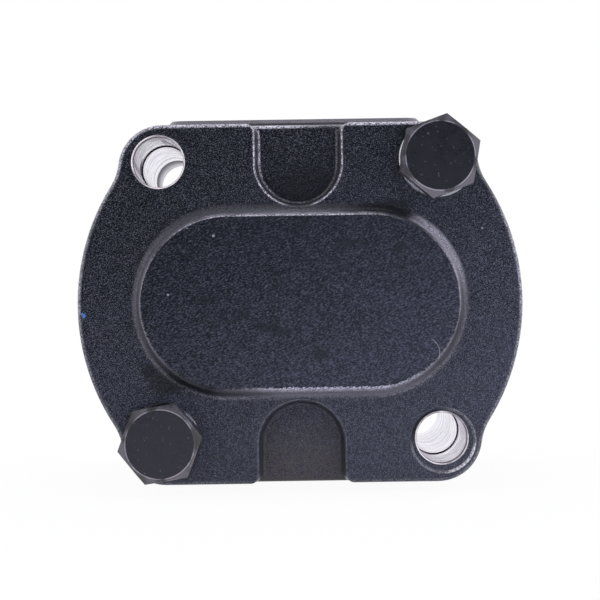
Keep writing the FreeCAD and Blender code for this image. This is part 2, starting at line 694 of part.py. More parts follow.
def spline_end():
    """Seal land and straight-sided spline, with the cutter's run-out between them."""
    start = SHAFT_REACH - SPLINE_LENGTH
    run_out_start = start - SPLINE_RUN_OUT
    land = cylinder(SHAFT_RADIUS, Y_GEAR_FRONT + JOURNAL_LENGTH - CUT_PAST, run_out_start)
    run_out = cone(SHAFT_RADIUS, SPLINE_ROOT_RADIUS, run_out_start, start)
    core = cylinder(SPLINE_ROOT_RADIUS, start, SHAFT_REACH)
    teeth = [spline_tooth(run_out_start, k) for k in range(SPLINE_TEETH)]
    blank = cylinder(SHAFT_RADIUS, Y_FRONT_JOINT, SHAFT_REACH)
    blank = blank.makeChamfer(SHAFT_CHAMFER, edges_at(blank, SHAFT_REACH))
    return land.fuse([run_out, core] + teeth).common(blank)


def spline_tooth(y0, k):
    """One parallel-sided tooth, from the shaft's axis out past its surface."""
    low = at(0, y0, -SPLINE_TOOTH_WIDTH / 2)
    tooth = Part.makeBox(SHAFT_RADIUS + CUT_PAST, SHAFT_REACH - y0, SPLINE_TOOTH_WIDTH, low)
    tooth.rotate(at(0, 0, 0), at(0, 1, 0), 360.0 * k / SPLINE_TEETH)
    return tooth


def drive_gear_shaft():
    gear = gear_body(0.0, 0.0)
    rear = journal(0.0, Y_GEAR_REAR - JOURNAL_LENGTH, Y_GEAR_REAR)
    front = journal(0.0, Y_GEAR_FRONT, Y_GEAR_FRONT + JOURNAL_LENGTH)
    solid = gear.fuse([rear, front, spline_end()]).removeSplitter()
    ends = [
        centre_drilling(SHAFT_REACH, 1),
        centre_drilling(Y_GEAR_REAR - JOURNAL_LENGTH, -1),
    ]
    return solid.cut(ends)


def bush(x, y_joint, direction):
    """Plain bush pressed into a casting, with an oil groove along its bore."""
    ends = sorted((y_joint, y_joint + direction * BUSH_LENGTH))
    outer = cylinder(BUSH_RADIUS, ends[0], ends[1], x)
    outer = outer.makeChamfer(BUSH_CHAMFER, edges_at(outer, ends[0]) + edges_at(outer, ends[1]))
    bore = cylinder(JOURNAL_RADIUS + JOURNAL_CLEARANCE, ends[0] - CUT_PAST, ends[1] + CUT_PAST, x)
    corner = at(x - BUSH_GROOVE_WIDTH / 2, ends[0] - CUT_PAST, 0)
    groove_top = JOURNAL_RADIUS + BUSH_GROOVE_DEPTH
    groove_length = BUSH_LENGTH + 2 * CUT_PAST
    groove = Part.makeBox(BUSH_GROOVE_WIDTH, groove_length, groove_top, corner)
    return outer.cut([bore, groove])


def plate_seal_shape(y0, y1, clearance=0.0):
    """Three-shaped strip round the outlet side of both journals, open towards the inlet."""
    outer = PITCH_RADIUS + PLATE_SEAL_WIDTH / 2 + clearance
    inner = PITCH_RADIUS - PLATE_SEAL_WIDTH / 2 - clearance
    loops = []
    for x in AXES_X:
        hollow = cylinder(inner, y0 - CUT_PAST, y1 + CUT_PAST, x)
        loops.append(cylinder(outer, y0, y1, x).cut(hollow))
    strip = loops[0].fuse(loops[1]).removeSplitter()
    wide = 3 * AXIS_DISTANCE
    corner = at(X_CENTRE - wide / 2, y0 - CUT_PAST, SEAL_OPEN_HEIGHT + clearance)
    open_side = Part.makeBox(wide, y1 - y0 + 2 * CUT_PAST, wide, corner)
    return strip.cut(open_side)


def thrust_plate(y_gear_side, y_joint, seal_span):
    """Bearing plate shaped like the chamber, with relief pockets at the mesh."""
    y0, y1 = sorted((y_gear_side, y_joint))
    radius = HOUSING_BORE - PLATE_FIT
    discs = [cylinder(radius, y0, y1, x) for x in AXES_X]
    plate = discs[0].fuse(discs[1]).removeSplitter()
    bore_radius = JOURNAL_RADIUS + PLATE_BORE_CLEARANCE
    cutters = [cylinder(bore_radius, y0 - CUT_PAST, y1 + CUT_PAST, x) for x in AXES_X]
    inward = 1 if y_joint > y_gear_side else -1
    pocket_ends = sorted((y_gear_side - inward, y_gear_side + inward * RELIEF_DEPTH))
    for side in (-1, 1):
        low = RELIEF_LAND / 2 if side > 0 else -RELIEF_LAND / 2 - TIP_RADIUS
        cutters.append(
            Part.makeBox(
                RELIEF_WIDTH,
                pocket_ends[1] - pocket_ends[0],
                TIP_RADIUS,
                at(X_CENTRE - RELIEF_WIDTH / 2, pocket_ends[0], low),
            )
        )
    cutters.append(plate_seal_shape(seal_span[0], seal_span[1], SEAL_SIDE_CLEARANCE))
    return plate.cut(cutters)


def end_pieces():
    """The two thrust plates with the seal and backup strip behind each, by node name."""
    pieces = {}
    sealed = PLATE_SEAL_THICKNESS + BACKUP_THICKNESS
    for name, y_gear, y_joint, outward in (
        ("front", Y_GEAR_FRONT + SIDE_CLEARANCE, Y_FRONT_JOINT, 1),
        ("rear", Y_GEAR_REAR - SIDE_CLEARANCE, Y_REAR_JOINT, -1),
    ):
        floor = y_joint - outward * sealed
        step = floor + outward * PLATE_SEAL_THICKNESS
        span = sorted((floor, y_joint + outward))
        pieces[name + "_thrust_plate"] = thrust_plate(y_gear, y_joint, span)
        seal_ends = sorted((floor, step))
        backup_ends = sorted((step, y_joint))
        pieces[name + "_plate_seal"] = plate_seal_shape(seal_ends[0], seal_ends[1])
        pieces[name + "_backup_strip"] = plate_seal_shape(backup_ends[0], backup_ends[1])
    return pieces


def body_seal(y0, y1):
    ring = seal_ring(y0, y1)
    return ring.makeChamfer(SEAL_EDGE_BREAK, edges_at(ring, y0) + edges_at(ring, y1))


def seal_case():
    """Steel shell of the shaft seal: a cup with its web on the outer side."""
    inner = SEAL_BORE_RADIUS - SEAL_CASE_WALL
    web_back = SEAL_FRONT_Y - SEAL_CASE_WALL
    return turned(
        [
            (SEAL_BORE_RADIUS, SEAL_BACK_Y),
            (SEAL_BORE_RADIUS, SEAL_FRONT_Y),
            (SEAL_CASE_LIP_RADIUS, SEAL_FRONT_Y),
            (SEAL_CASE_LIP_RADIUS, web_back),
            (inner, web_back),
            (inner, SEAL_BACK_Y),
        ]
    )


def seal_lip():
    """Rubber of the shaft seal: main lip towards the oil, dust lip towards the outside."""
    web_front = SEAL_FRONT_Y - SEAL_CASE_WALL
    web_back = web_front - RUBBER_WEB
    case_inner = SEAL_BORE_RADIUS - SEAL_CASE_WALL
    lip_back = SEAL_BACK_Y + SPRING_WIRE_RADIUS
    return turned(
        [
            (case_inner, web_front),
            (SEAL_CASE_LIP_RADIUS, web_front),
            (SEAL_CASE_LIP_RADIUS, SEAL_FRONT_Y),
            (LIP_RADIUS + DUST_LIP_THICKNESS, SEAL_FRONT_Y),
            (LIP_RADIUS, SEAL_FRONT_Y - DUST_LIP_THICKNESS),
            (LIP_RADIUS + LIP_THICKNESS / 2, SEAL_FRONT_Y - DUST_LIP_LENGTH),
            (LIP_RADIUS, lip_back + LIP_NOSE),
            (LIP_RADIUS + LIP_NOSE, lip_back),
            (LIP_RADIUS + LIP_THICKNESS, lip_back),
            (LIP_RADIUS + LIP_THICKNESS, web_back),
            (case_inner, web_back),
        ]
    )


def seal_spring():
    """Garter spring that sits on the main lip, as a plain ring."""
    ring_radius = LIP_RADIUS + LIP_THICKNESS + SPRING_WIRE_RADIUS
    centre = at(0, SEAL_BACK_Y + LIP_SET_IN, 0)
    return Part.makeTorus(ring_radius, SPRING_WIRE_RADIUS, centre, at(0, 1, 0))


def seal_retaining_ring():
    """Internal snap ring with two eared ends, sitting in the groove before the seal."""
    back = RING_FRONT_Y - RING_THICKNESS
    outer = SEAL_BORE_RADIUS + RING_GROOVE_DEPTH
    inner = outer - RING_RADIAL_WIDTH
    ring = cylinder(outer, back, RING_FRONT_Y)
    below = back - CUT_PAST
    above = RING_FRONT_Y + CUT_PAST
    hollow = cylinder(inner, below, above)
    half_gap = math.radians(RING_GAP_ANGLE / 2)
    far = [polar(2 * outer, math.pi / 2 + side * half_gap) for side in (1, -1)]
    gap = prism(Part.makePolygon([at(0, 0, 0)] + far + [at(0, 0, 0)]), below, above)
    ears = []
    ear_holes = []
    for side in (-1, 1):
        angle = math.pi / 2 + side * (half_gap + RING_EAR_RADIUS / inner)
        place = polar(inner, angle)
        ears.append(cylinder(RING_EAR_RADIUS, back, RING_FRONT_Y, place.x, place.z))
        ear_holes.append(cylinder(RING_EAR_HOLE_RADIUS, below, above, place.x, place.z))
    return ring.cut([hollow, gap]).fuse(ears).cut(ear_holes).removeSplitter()


def dowels(y):
    """The pair of dowels that lines up two castings at one joint face."""
    half = DOWEL_LENGTH / 2
    pins = []
    for x in dowel_places():
        pin = cylinder(DOWEL_RADIUS, y - half, y + half, x)
        ends = edges_at(pin, y - half) + edges_at(pin, y + half)
        pins.append(pin.makeChamfer(DOWEL_CHAMFER, ends))
    return Part.makeCompound(pins)


def housing_bolt(corner, turn):
    """Hexagon-head bolt through the rear cover and housing into the front cover."""
    x, z = corner_xz(corner)
    top = BOLT_SEAT_Y - BOLT_HEAD_HEIGHT
    collar_y = BOLT_SEAT_Y - BOLT_COLLAR_HEIGHT
    angles = [math.radians(turn + 60 * k) for k in range(7)]
    hexagon = Part.makePolygon([at(x, 0, z) + polar(BOLT_HEAD_REACH, angle) for angle in angles])
    head = prism(hexagon, top, collar_y)
    disc_radius = BOLT_HEAD_FLATS / 2 * BOLT_HEAD_CHAMFER_SHARE
    slope = math.tan(math.radians(BOLT_HEAD_CHAMFER_ANGLE))
    cap_radius = disc_radius + BOLT_HEAD_HEIGHT / slope
    head = head.common(cone(disc_radius, cap_radius, top, BOLT_SEAT_Y, x, z))
    collar = cylinder(BOLT_COLLAR_RADIUS, collar_y, BOLT_SEAT_Y, x, z)
    tip = Y_FRONT_JOINT + BOLT_THREAD_ENGAGED
    thread_start = tip - BOLT_THREAD_LENGTH
    shank = cylinder(BOLT_RADIUS, collar_y, thread_start, x, z)
    thread = cylinder(BOLT_RADIUS - THREAD_CLEARANCE, thread_start, tip, x, z)
    thread = thread.makeChamfer(SHAFT_CHAMFER / 2, edges_at(thread, tip))
    return head.fuse([collar, shank, thread])


def housing_bolts():
    return Part.makeCompound(
        [housing_bolt(corner, turn) for corner, turn in zip(BOLTED_CORNERS, BOLT_TURNS)]
    )


def bolt_washer(corner, offset):
    """Plain washer under one bolt head, as far off its centre as the hole's play lets it lie."""
    x, z = corner_xz(corner)
    x += offset[0]
    z += offset[1]
    disc = cylinder(WASHER_RADIUS, BOLT_SEAT_Y, Y_REAR_FACE, x, z)
    disc = disc.makeChamfer(WASHER_EDGE_BREAK, edges_at(disc, BOLT_SEAT_Y))
    return disc.cut(
        cylinder(BOLT_HOLE_RADIUS, BOLT_SEAT_Y - CUT_PAST, Y_REAR_FACE + CUT_PAST, x, z)
    )


def bolt_washers():
    return Part.makeCompound(
        [bolt_washer(corner, offset) for corner, offset in zip(BOLTED_CORNERS, WASHER_OFFSETS)]
    )


def build():
    """Every piece of the pump by node name."""
    pieces = {
        "rear_cover": rear_cover(),
        "gear_housing": gear_housing(),
        "front_cover": front_cover(),
        "drive_gear_shaft": drive_gear_shaft(),
        "driven_gear_shaft": driven_gear_shaft(),
        "front_drive_bush": bush(0.0, Y_FRONT_JOINT, 1),
        "front_driven_bush": bush(AXIS_DISTANCE, Y_FRONT_JOINT, 1),
        "rear_drive_bush": bush(0.0, Y_REAR_JOINT, -1),
        "rear_driven_bush": bush(AXIS_DISTANCE, Y_REAR_JOINT, -1),
        "front_body_seal": body_seal(Y_FRONT_JOINT, Y_FRONT_JOINT + BODY_SEAL_THICKNESS),
        "rear_body_seal": body_seal(Y_REAR_JOINT - BODY_SEAL_THICKNESS, Y_REAR_JOINT),
        "seal_case": seal_case(),
        "seal_lip": seal_lip(),
        "seal_spring": seal_spring(),
        "seal_retaining_ring": seal_retaining_ring(),
        "front_dowels": dowels(Y_FRONT_JOINT),
        "rear_dowels": dowels(Y_REAR_JOINT),
        "housing_bolts": housing_bolts(),
        "bolt_washers": bolt_washers(),
    }
    pieces.update(end_pieces())
    return pieces


os.makedirs("parts", exist_ok=True)
for node, shape in build().items():
    shape.exportStep("parts/" + node + ".step")
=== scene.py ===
import json
import math

import bpy
from mathutils import Matrix, Vector


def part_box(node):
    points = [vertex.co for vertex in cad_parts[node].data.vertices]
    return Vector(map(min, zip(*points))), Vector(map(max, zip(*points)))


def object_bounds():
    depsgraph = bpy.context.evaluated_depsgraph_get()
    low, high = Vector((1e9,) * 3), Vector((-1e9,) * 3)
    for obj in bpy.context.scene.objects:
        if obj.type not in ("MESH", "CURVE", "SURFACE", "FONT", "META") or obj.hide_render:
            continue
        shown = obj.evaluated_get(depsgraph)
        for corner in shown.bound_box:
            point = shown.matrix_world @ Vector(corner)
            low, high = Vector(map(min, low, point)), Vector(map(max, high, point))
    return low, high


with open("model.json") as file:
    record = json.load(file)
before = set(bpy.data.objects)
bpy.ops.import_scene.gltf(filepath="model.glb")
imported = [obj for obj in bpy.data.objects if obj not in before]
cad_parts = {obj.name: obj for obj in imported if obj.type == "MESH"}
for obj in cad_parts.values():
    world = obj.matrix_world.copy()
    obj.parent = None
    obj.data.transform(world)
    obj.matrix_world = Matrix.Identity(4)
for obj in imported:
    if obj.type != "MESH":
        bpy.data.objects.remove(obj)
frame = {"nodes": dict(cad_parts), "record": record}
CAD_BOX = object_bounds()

MM = 0.001

# A ramp below is written as the places where it starts and ends, between which it goes from 0 to 1
# or fades from 1 to 0. One with four numbers also has its levels at those places

# Most of a noise lies between these levels
NOISE_SPREAD = (0.3, 0.7)

# Places and sizes from the frame
COVER_LOW, COVER_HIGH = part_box("rear_cover")
HOUSING_LOW, HOUSING_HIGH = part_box("gear_housing")
MOUNTS = {mount["name"]: mount for mount in frame["record"]["mounts"]}
HOLES = MOUNTS["mounting_holes"]
CENTRE_X = HOLES["pos_m"][0]
HALF_SQUARE = HOLES["dims"]["pcd_mm"] * MM / 2 / math.sqrt(2)
HOLE_RADIUS = HOLES["dims"]["hole_r_mm"] * MM
PILOT_RADIUS = MOUNTS["pilot"]["dims"]["r_mm"] * MM
DRIVE_X, DRIVE_Z = MOUNTS["pilot"]["pos_m"][0], MOUNTS["pilot"]["pos_m"][2]
HALF_CENTRES = CENTRE_X - DRIVE_X
REAR_JOINT_Y = HOUSING_LOW.y
HOUSING_MIDDLE_Y = (HOUSING_LOW.y + HOUSING_HIGH.y) / 2
MOUNTING_FACE_Y = MOUNTS["mounting_face"]["pos_m"][1]
BOLT_FRONT_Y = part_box("housing_bolts")[0].y

# The four corners, seen from the rear cover's side: x and z from its middle
UPPER_LEFT = (-1, 1)
UPPER_RIGHT = (1, 1)
LOWER_LEFT = (-1, -1)
LOWER_RIGHT = (1, -1)
OPEN_CORNERS = (UPPER_LEFT, LOWER_RIGHT)

# Sizes of the castings that the frame doesn't name
BOSS_RISE = 4.5 * MM
FACE_Y = COVER_LOW.y + BOSS_RISE
BOSS_EDGE = 25.1 * MM
POCKET_HALF = 14.0 * MM
POCKET_DEPTH = 7.5 * MM
RECESS_RADIUS = 9.2 * MM
RECESS_SHIFT = (0.3 * MM, -0.65 * MM)
RELIEF_START_Y = REAR_JOINT_Y - 13.0 * MM
CHAMBER_REACH = 46.0 * MM
PORT_MARGIN = (1.2 * MM, 1.3 * MM)
MOUTH_MARGIN = 0.45 * MM
WALL_MARGIN = 0.06 * MM
ZONE_SOFTNESS = 0.05 * MM

# Where the castings are machined, with a thin margin so that the whole face is bare
COVER_JOINT = (REAR_JOINT_Y - 0.02 * MM, REAR_JOINT_Y - 0.01 * MM)
HOUSING_JOINT = (REAR_JOINT_Y + 0.01 * MM, REAR_JOINT_Y + 0.02 * MM)
JOINT_HALF_HEIGHT = (COVER_HIGH.z - 1.6 * MM, COVER_HIGH.z - 1.5 * MM)
TOP_PAD_FACE = (HOUSING_HIGH.z - 0.06 * MM, HOUSING_HIGH.z - 0.04 * MM)
BOTTOM_PAD_FACE = (HOUSING_LOW.z + 0.06 * MM, HOUSING_LOW.z + 0.04 * MM)
MOUNTING_FACE = (MOUNTING_FACE_Y - 0.3 * MM, MOUNTING_FACE_Y - 0.1 * MM)

# Bolts and washers: the turn of each head is in degrees
BOLT_TURNS = {UPPER_RIGHT: 20.0, LOWER_LEFT: 8.9}
BOLT_REACH = 14.0 * MM
BOLT_HALF_FLATS = 10.5 * MM
BOLT_DISC_RADIUS = 9.765 * MM
WASHER_RADIUS = 11.0 * MM

# Camera: straight at the rear cover, turned a little about its own axis
CAMERA_DISTANCE = 620 * MM
PICTURE_WIDTH = 171.4 * MM
CAMERA_ROLL = 0.85
SENSOR_WIDTH = 36.0

# Grain of the cast surface, from broad to fine, and the boss's top, where it is leathery
BROAD_SIZE = 18.0 * MM
PATCH_SIZE = 3.0 * MM
GRAIN_SIZE = 0.50 * MM
WRINKLE_SIZE = 0.40 * MM
CREASE_SIZE = 0.26 * MM
DUST_SIZE = 0.26 * MM
WRINKLE_STRETCH = (2.2, 1.0, 1.0)
WRINKLE_TURN = 20.0
WRINKLE_SHARE = 0.55
GRAIN_DEPTH = 0.15 * MM
BOSS_TOP = (-0.95 * BOSS_RISE, -0.80 * BOSS_RISE)
BOSS_SHARE = 0.92

# Paint on the castings. Its tone grows towards the lower right as painted light, and the boss has fewer
# specks
PAINT_DARK = (0.0, 0.001, 0.003, 1.0)
PAINT_LIGHT = (0.040, 0.043, 0.074, 1.0)
# Painted light: lighter paint towards the lower right
PAINT_LIT_LOWER_RIGHT = (0.014, 0.014, 0.022, 1.0)
# Light specks of the paint's grain, which also stand in for painted glints
PAINT_SPECK_AND_GLINT = (0.142, 0.148, 0.190, 1.0)
# Dark paint of the smudges, also used for painted shadows and painted shade
PAINT_SMUDGE_AND_SHADE = (0.004, 0.005, 0.007, 1.0)
PAINT_ROUGHNESS = (0.28, 0.36)
PAINT_SPECULAR = 0.38
PAINT_GLOSS_TINT = (0.92, 0.93, 1.0, 1.0)
TONE_LEVELS = (0.41, 0.57)
TONE_PATCHES = 0.15
TONE_BY_PAINTED_LIGHT = (0.16, 1.0)
TONE_RIGHTWARD = 0.3
TONE_REACH = 50.0 * MM
LIT_LOWER_RIGHT_REACH = 60.0 * MM
SPECK_LEVELS = (0.54, 0.70)
SPECK_SHARES = (0.65, 0.28)

# Bare metal: streaked and stained in the corner bores, milled on the flat faces
BORE_METAL_LOW = (0.38, 0.33, 0.36, 1.0)
BORE_METAL_HIGH = (0.98, 0.90, 0.93, 1.0)
BORE_ROUGHNESS = (0.10, 0.20)
BORE_STRETCH = (4.0, 1.0, 4.0)
STAINED_METAL = (0.30, 0.26, 0.265, 1.0)
# Dark dull metal, used for painted shade in the holes and for a darker band inside the bores' mouths
DULL_SHADED_METAL = (0.10, 0.10, 0.11, 1.0)
DULL_ROUGHNESS = 0.5
MILLED_LOW = (0.30, 0.30, 0.31, 1.0)
MILLED_HIGH = (0.46, 0.46, 0.47, 1.0)
MILLED_ROUGHNESS = (0.30, 0.42)
MILLED_PATCHES = 0.3
CUT_SPACING = 0.45 * MM
CUT_DEPTH = 0.004 * MM
STREAK_SIZE = 3.5 * MM
DRILL_MARK_SIZE = 0.35 * MM
BORE_STREAKS = (0.36, 0.58)
STAIN_PATCHES = (0.36, 0.58, 0.50, 0.95)
SHADED_SIDE_ANGLE = 205.0
SHADED_SIDE_REACH = (0.55 * HOLE_RADIUS, 0.95 * HOLE_RADIUS)
SHADED_SIDE_MARGIN = 3.0 * MM
RELIEF_STAINS = (RELIEF_START_Y + 0.2 * MM, RELIEF_START_Y)
RELIEF_SHADE = (RELIEF_START_Y - 0.2 * MM, RELIEF_START_Y, 0.0, 0.8)
# Painted shade deep in the upper left bore, in the front cover, fading towards the mounting face
BORE_END_SHADE_Y = MOUNTING_FACE_Y - 31.0 * MM
BORE_END_SHADE_START = (BORE_END_SHADE_Y - 0.5 * MM, BORE_END_SHADE_Y)
BORE_END_SHADE_FADE = (BORE_END_SHADE_Y, MOUNTING_FACE_Y, 1.0, 0.4)
LIP_DEPTH = (0.45 * MM, 0.60 * MM)
LIP_FADE = (FACE_Y + 2.0 * MM, FACE_Y + 6.0 * MM, 0.8, 0.0)
MOUTH_DEPTH = (2.0 * MM, 2.2 * MM)
MATT_LEVEL = 0.85

# Marks of use on the cover's face, with painted shadows of the bolts and painted shade in the upper pocket:
# x and z from its middle, radius, all in mm, and stretch along x
SMUDGES = (
    (-27.1, 0.4, 1.9, 2.2),
    (-16.3, -4.3, 2.2, 2.0),
    (-11.0, -7.3, 1.8, 2.4),
    (-5.0, -8.8, 1.4, 2.0),
    (6.1, -15.2, 2.0, 1.8),
    (13.1, 16.4, 1.6, 2.6),
    (28.2, 14.7, 2.0, 1.6),
    (33.0, 10.4, 1.4, 1.4),
)
SMUDGE_WOBBLE = 5.0 * MM
SMUDGE_STRENGTH = 0.70
CHIPS = (
    (-37.4, 2.0, 0.45, 1.0),
    (-24.3, 18.6, 0.55, 1.0),
    (52.3, 19.8, 0.4, 1.0),
    (-31.7, 20.8, 0.3, 1.0),
)
CHIP_WOBBLE = 0.2 * MM
CHIP_STRENGTH = 0.80
CHIP_COLOUR = (0.30, 0.31, 0.34, 1.0)
BLUE_SPECKS = (
    (-61.8, -3.7, 0.9, 0.7),
    (-62.3, -3.1, 0.5, 1.0),
)
BLUE_SPECK_WOBBLE = 0.5 * MM
BLUE_SPECK_STRENGTH = 0.90
BLUE_SPECK_COLOUR = (0.08, 0.22, 0.60, 1.0)
# Painted shadows that the two bolts cast on the face
PAINTED_BOLT_SHADOWS = (
    (-38.1, -23.4, 5.0, 1.5),
    (-43.2, -19.9, 3.0, 1.0),
    (26.7, 26.2, 3.2, 2.6),
)
BOLT_SHADOW_WOBBLE = 4.0 * MM
BOLT_SHADOW_STRENGTH = 0.90
# Painted shade on the floor of the upper pocket, darkest near its closed end
POCKET_SHADES = ((2.0, 27.0, 18.0, 1.0),)
POCKET_SHADE_WOBBLE = 3.0 * MM
POCKET_SHADE_STRENGTH = 0.85
SPOT_CORE = 0.35

# Brown floor of the low pocket, lighter towards its open end as painted light, and painted light on the
# port pad's rear side
IN_POCKETS = (3.0 * MM, 6.0 * MM)
LOW_POCKET_HEIGHT = (-28.0 * MM, -50.0 * MM)
LOW_POCKET_STREAKS = (0.40, 0.62, 0.15, 0.90)
LOW_POCKET_BROWN_AND_LIT = (0.085, 0.070, 0.062, 1.0)
LEDGE_HEIGHT = (COVER_HIGH.z - 0.3 * MM, COVER_HIGH.z + 0.1 * MM, 0.0, 0.8)
LEDGE_FRONT = (REAR_JOINT_Y + 10.0 * MM, REAR_JOINT_Y + 8.0 * MM)
LEDGE_GRAIN = (0.30, 0.60, 0.70, 1.0)
# Painted light on the port pad's rear side
LEDGE_PAINTED_LIGHT = (0.13, 0.115, 0.145, 1.0)

# Recess round the lower right hole: its painted shade and the painted highlight on its rim, by the place
# towards the lower right
RECESS_DEPTH = (0.8 * MM, 0.9 * MM)
RECESS_EDGE = (RECESS_RADIUS - 0.2 * MM, RECESS_RADIUS)
RECESS_SHADE = (-0.60 * RECESS_RADIUS, -1.25 * RECESS_RADIUS)
RECESS_SHADE_STRENGTH = 0.95
RIM_LINE = RECESS_RADIUS - 0.1 * MM
RIM_WIDTH = (0.16 * MM, 0.55 * MM)
RIM_LIT = (1.02 * RECESS_RADIUS, 1.28 * RECESS_RADIUS, 0.25, 1.0)
RIM_FADE = (-1.2 * RECESS_RADIUS, -0.5 * RECESS_RADIUS)
RIM_GRAIN = (0.36, 0.58, 0.35, 1.0)
RECESS_RIM_HIGHLIGHT = (0.88, 0.86, 0.92, 1.0)

# One fine scratch: part of a circle, by its middle in mm and its two ends in degrees
SCRATCH_MIDDLE = (35.1, -15.4)
SCRATCH_RADIUS = 4.3 * MM
SCRATCH_ENDS = (-32.0, 66.0)
SCRATCH_TAPER = 12.0
SCRATCH_WIDTH = 0.16 * MM
SCRATCH_STRENGTH = 0.55

# Painted highlight on the rounded edges, which face neither the camera (-1) nor the side (0). Its level
# goes by the angle round the cover's middle, in degrees
EDGE_HIGHLIGHT_COLOUR = (0.68, 0.65, 0.77, 1.0)
EDGE_OFF_FACE = (-0.998, -0.85)
EDGE_OFF_SIDE = (-0.10, -0.30)
FACE_EDGE_DEPTH = (2.2 * MM, 2.6 * MM)
POCKET_EDGE_DEPTH = (POCKET_DEPTH + 2.0 * MM, POCKET_DEPTH + 2.2 * MM)
POCKET_EDGE_HALF = (POCKET_HALF, POCKET_HALF + 0.1 * MM)
UPPER_HALF = (0.0, 1.0 * MM)
OFF_RECESS = (RECESS_RADIUS + 1.0 * MM, RECESS_RADIUS + 1.2 * MM)
INNER_EDGE_DEPTH = (4.0 * MM, 5.0 * MM)
FAINT_ON_RIGHT = (-8.0 * MM, 8.0 * MM, 0.0, 0.75)
FAINT_AT_FOOT = (40.0 * MM, 28.0 * MM, 0.0, 0.70)
RAGGED_EDGE = (0.40, 0.60, 0.10, 1.0)
PATCHY_EDGE = (0.35, 0.55, 0.60, 1.0)
EDGE_LEVELS = (
    (-180, 0.55),
    (-167, 0.28),
    (-150, 0.22),
    (-128, 0.30),
    (-110, 0.16),
    (-60, 0.16),
    (-41, 0.30),
    (-14, 0.30),
    (2, 0.55),
    (18, 0.50),
    (30, 0.10),
    (42, 0.25),
    (52, 1.0),
    (128, 1.0),
    (150, 0.55),
    (158, 0.22),
    (170, 0.45),
    (180, 0.55),
)

# Band of painted highlight and shade along the boss's edge: level by the same angle
BAND_HIGHLIGHT = (0.49, 0.47, 0.57, 1.0)
BAND_START = (BOSS_EDGE - 0.4 * MM, BOSS_EDGE)
BAND_END = (26.8 * MM, 28.0 * MM)
BAND_DEPTH = (0.5 * MM, 1.0 * MM)
BAND_WOBBLE = 1.2 * MM
BAND_BREAKS = (0.42, 0.56, 0.35, 1.0)
BAND_LINE = BOSS_EDGE + 0.1 * MM
BAND_LINE_WIDTH = (0.10 * MM, 0.45 * MM, 2.0, 1.0)
BAND_LEVELS = (
    (-180, 0.20),
    (-165, 0.16),
    (-150, 0.04),
    (-136, 0.0),
    (-120, 0.20),
    (-100, 0.58),
    (-45, 0.52),
    (-25, 0.18),
    (-10, 0.16),
    (2, 0.26),
    (14, 0.70),
    (27, 0.85),
    (34, 0.50),
    (37, 0.02),
    (52, 0.0),
    (66, 0.10),
    (114, 0.15),
    (140, 0.12),
    (154, 0.17),
    (165, 0.22),
    (180, 0.20),
)

# Black-oxide bolts: body, disc of the head, scuffs on the disc and painted highlights on the edges
BOLT_BODY_LOW = (0.050, 0.047, 0.052, 1.0)
BOLT_BODY_HIGH = (0.140, 0.130, 0.158, 1.0)
BOLT_BODY_PATCHES = (0.36, 0.62)
BOLT_DISC_LOW = (0.012, 0.011, 0.014, 1.0)
BOLT_DISC_HIGH = (0.026, 0.024, 0.031, 1.0)
BOLT_DISC_FACING = (-0.97, -0.92)
# Painted light: the disc is lighter towards the bottom, on the lower left bolt
LOWER_DISC_LIT_COLOUR = (0.045, 0.044, 0.062, 1.0)
LOWER_DISC_LIT_HEIGHT = (0.0, -20.0 * MM, 0.0, 0.45)
BOLT_SCUFF_COLOUR = (0.16, 0.15, 0.20, 1.0)
BOLT_SCUFF_SIZE = 0.9 * MM
BOLT_SCUFF_LEVELS = (0.66, 0.72)
BOLT_SCUFF_STRENGTH = 0.70
BOLT_EDGE_HIGHLIGHT = (0.40, 0.38, 0.44, 1.0)
BOLT_EDGE_PATCHES = (0.40, 0.55, 0.10, 1.0)
BOLT_EDGE_DEPTH = 0.8 * MM
DISC_RIM_WIDTH = (0.05 * MM, 0.22 * MM, 0.9, 0.0)
FLATS_EDGE = (BOLT_HALF_FLATS - 0.30 * MM, BOLT_HALF_FLATS - 0.05 * MM, 0.0, 0.9)
BOLT_ROUGHNESS = (0.26, 0.38)
BOLT_METALLIC = 0.5
BOLT_PATCH_SIZE = 5.0 * MM
BOLT_SMUDGE_SIZE = 3.2 * MM
BOLT_GRAIN_SIZE = 0.30 * MM
BOLT_GRAIN_DEPTH = 0.020 * MM

# Plated washers: painted shade over the lower left one, except for its lit edge at the upper right
WASHER_LOW = (0.32, 0.31, 0.34, 1.0)
WASHER_HIGH = (0.55, 0.54, 0.57, 1.0)
WASHER_PAINTED_SHADE = (0.012, 0.012, 0.016, 1.0)
WASHER_PAINTED_SHADE_STRENGTH = 0.95
WASHER_LIT_EDGE = (1.33 * WASHER_RADIUS, 1.38 * WASHER_RADIUS)
WASHER_ROUGHNESS = (0.22, 0.38)
WASHER_SMUDGE_SIZE = 2.5 * MM

# Turned and ground steel
TURNING_SIZE = 0.3 * MM
TURNING_DEPTH = 0.005 * MM
TURNING_SHADE = 0.8
STEEL_SMUDGE_SIZE = 7.0 * MM

# World: its light on the object, and what gloss sees on the camera's side and behind the object
WHITE = (1.0, 1.0, 1.0, 1.0)
WORLD_TINT = (0.95, 0.96, 1.0, 1.0)
WORLD_LEVEL = 0.80
FRONT_TINT = (0.62, 0.70, 1.0, 1.0)
FRONT_LEVEL = 0.045
FRONT_TO_BACK = (-0.97, 0.20)

# Floor: white to the camera, but for a faint shadow close to the object
FLOOR_HALF = 3.0
FLOOR_LOW = (0.80, 0.80, 0.81, 1.0)
FLOOR_HIGH = (0.84, 0.84, 0.85, 1.0)
FLOOR_ROUGHNESS = 0.7
FLOOR_SPECKLE_SIZE = 2.0 * MM
SHADOW_REACH = (0.12, 0.35)
SHADOW_WHITE = 0.95
FLOOR_FRONT_LEVEL = 0.10
FLOOR_FRONT_REACH = (FACE_Y - 0.60, FACE_Y - 0.16)

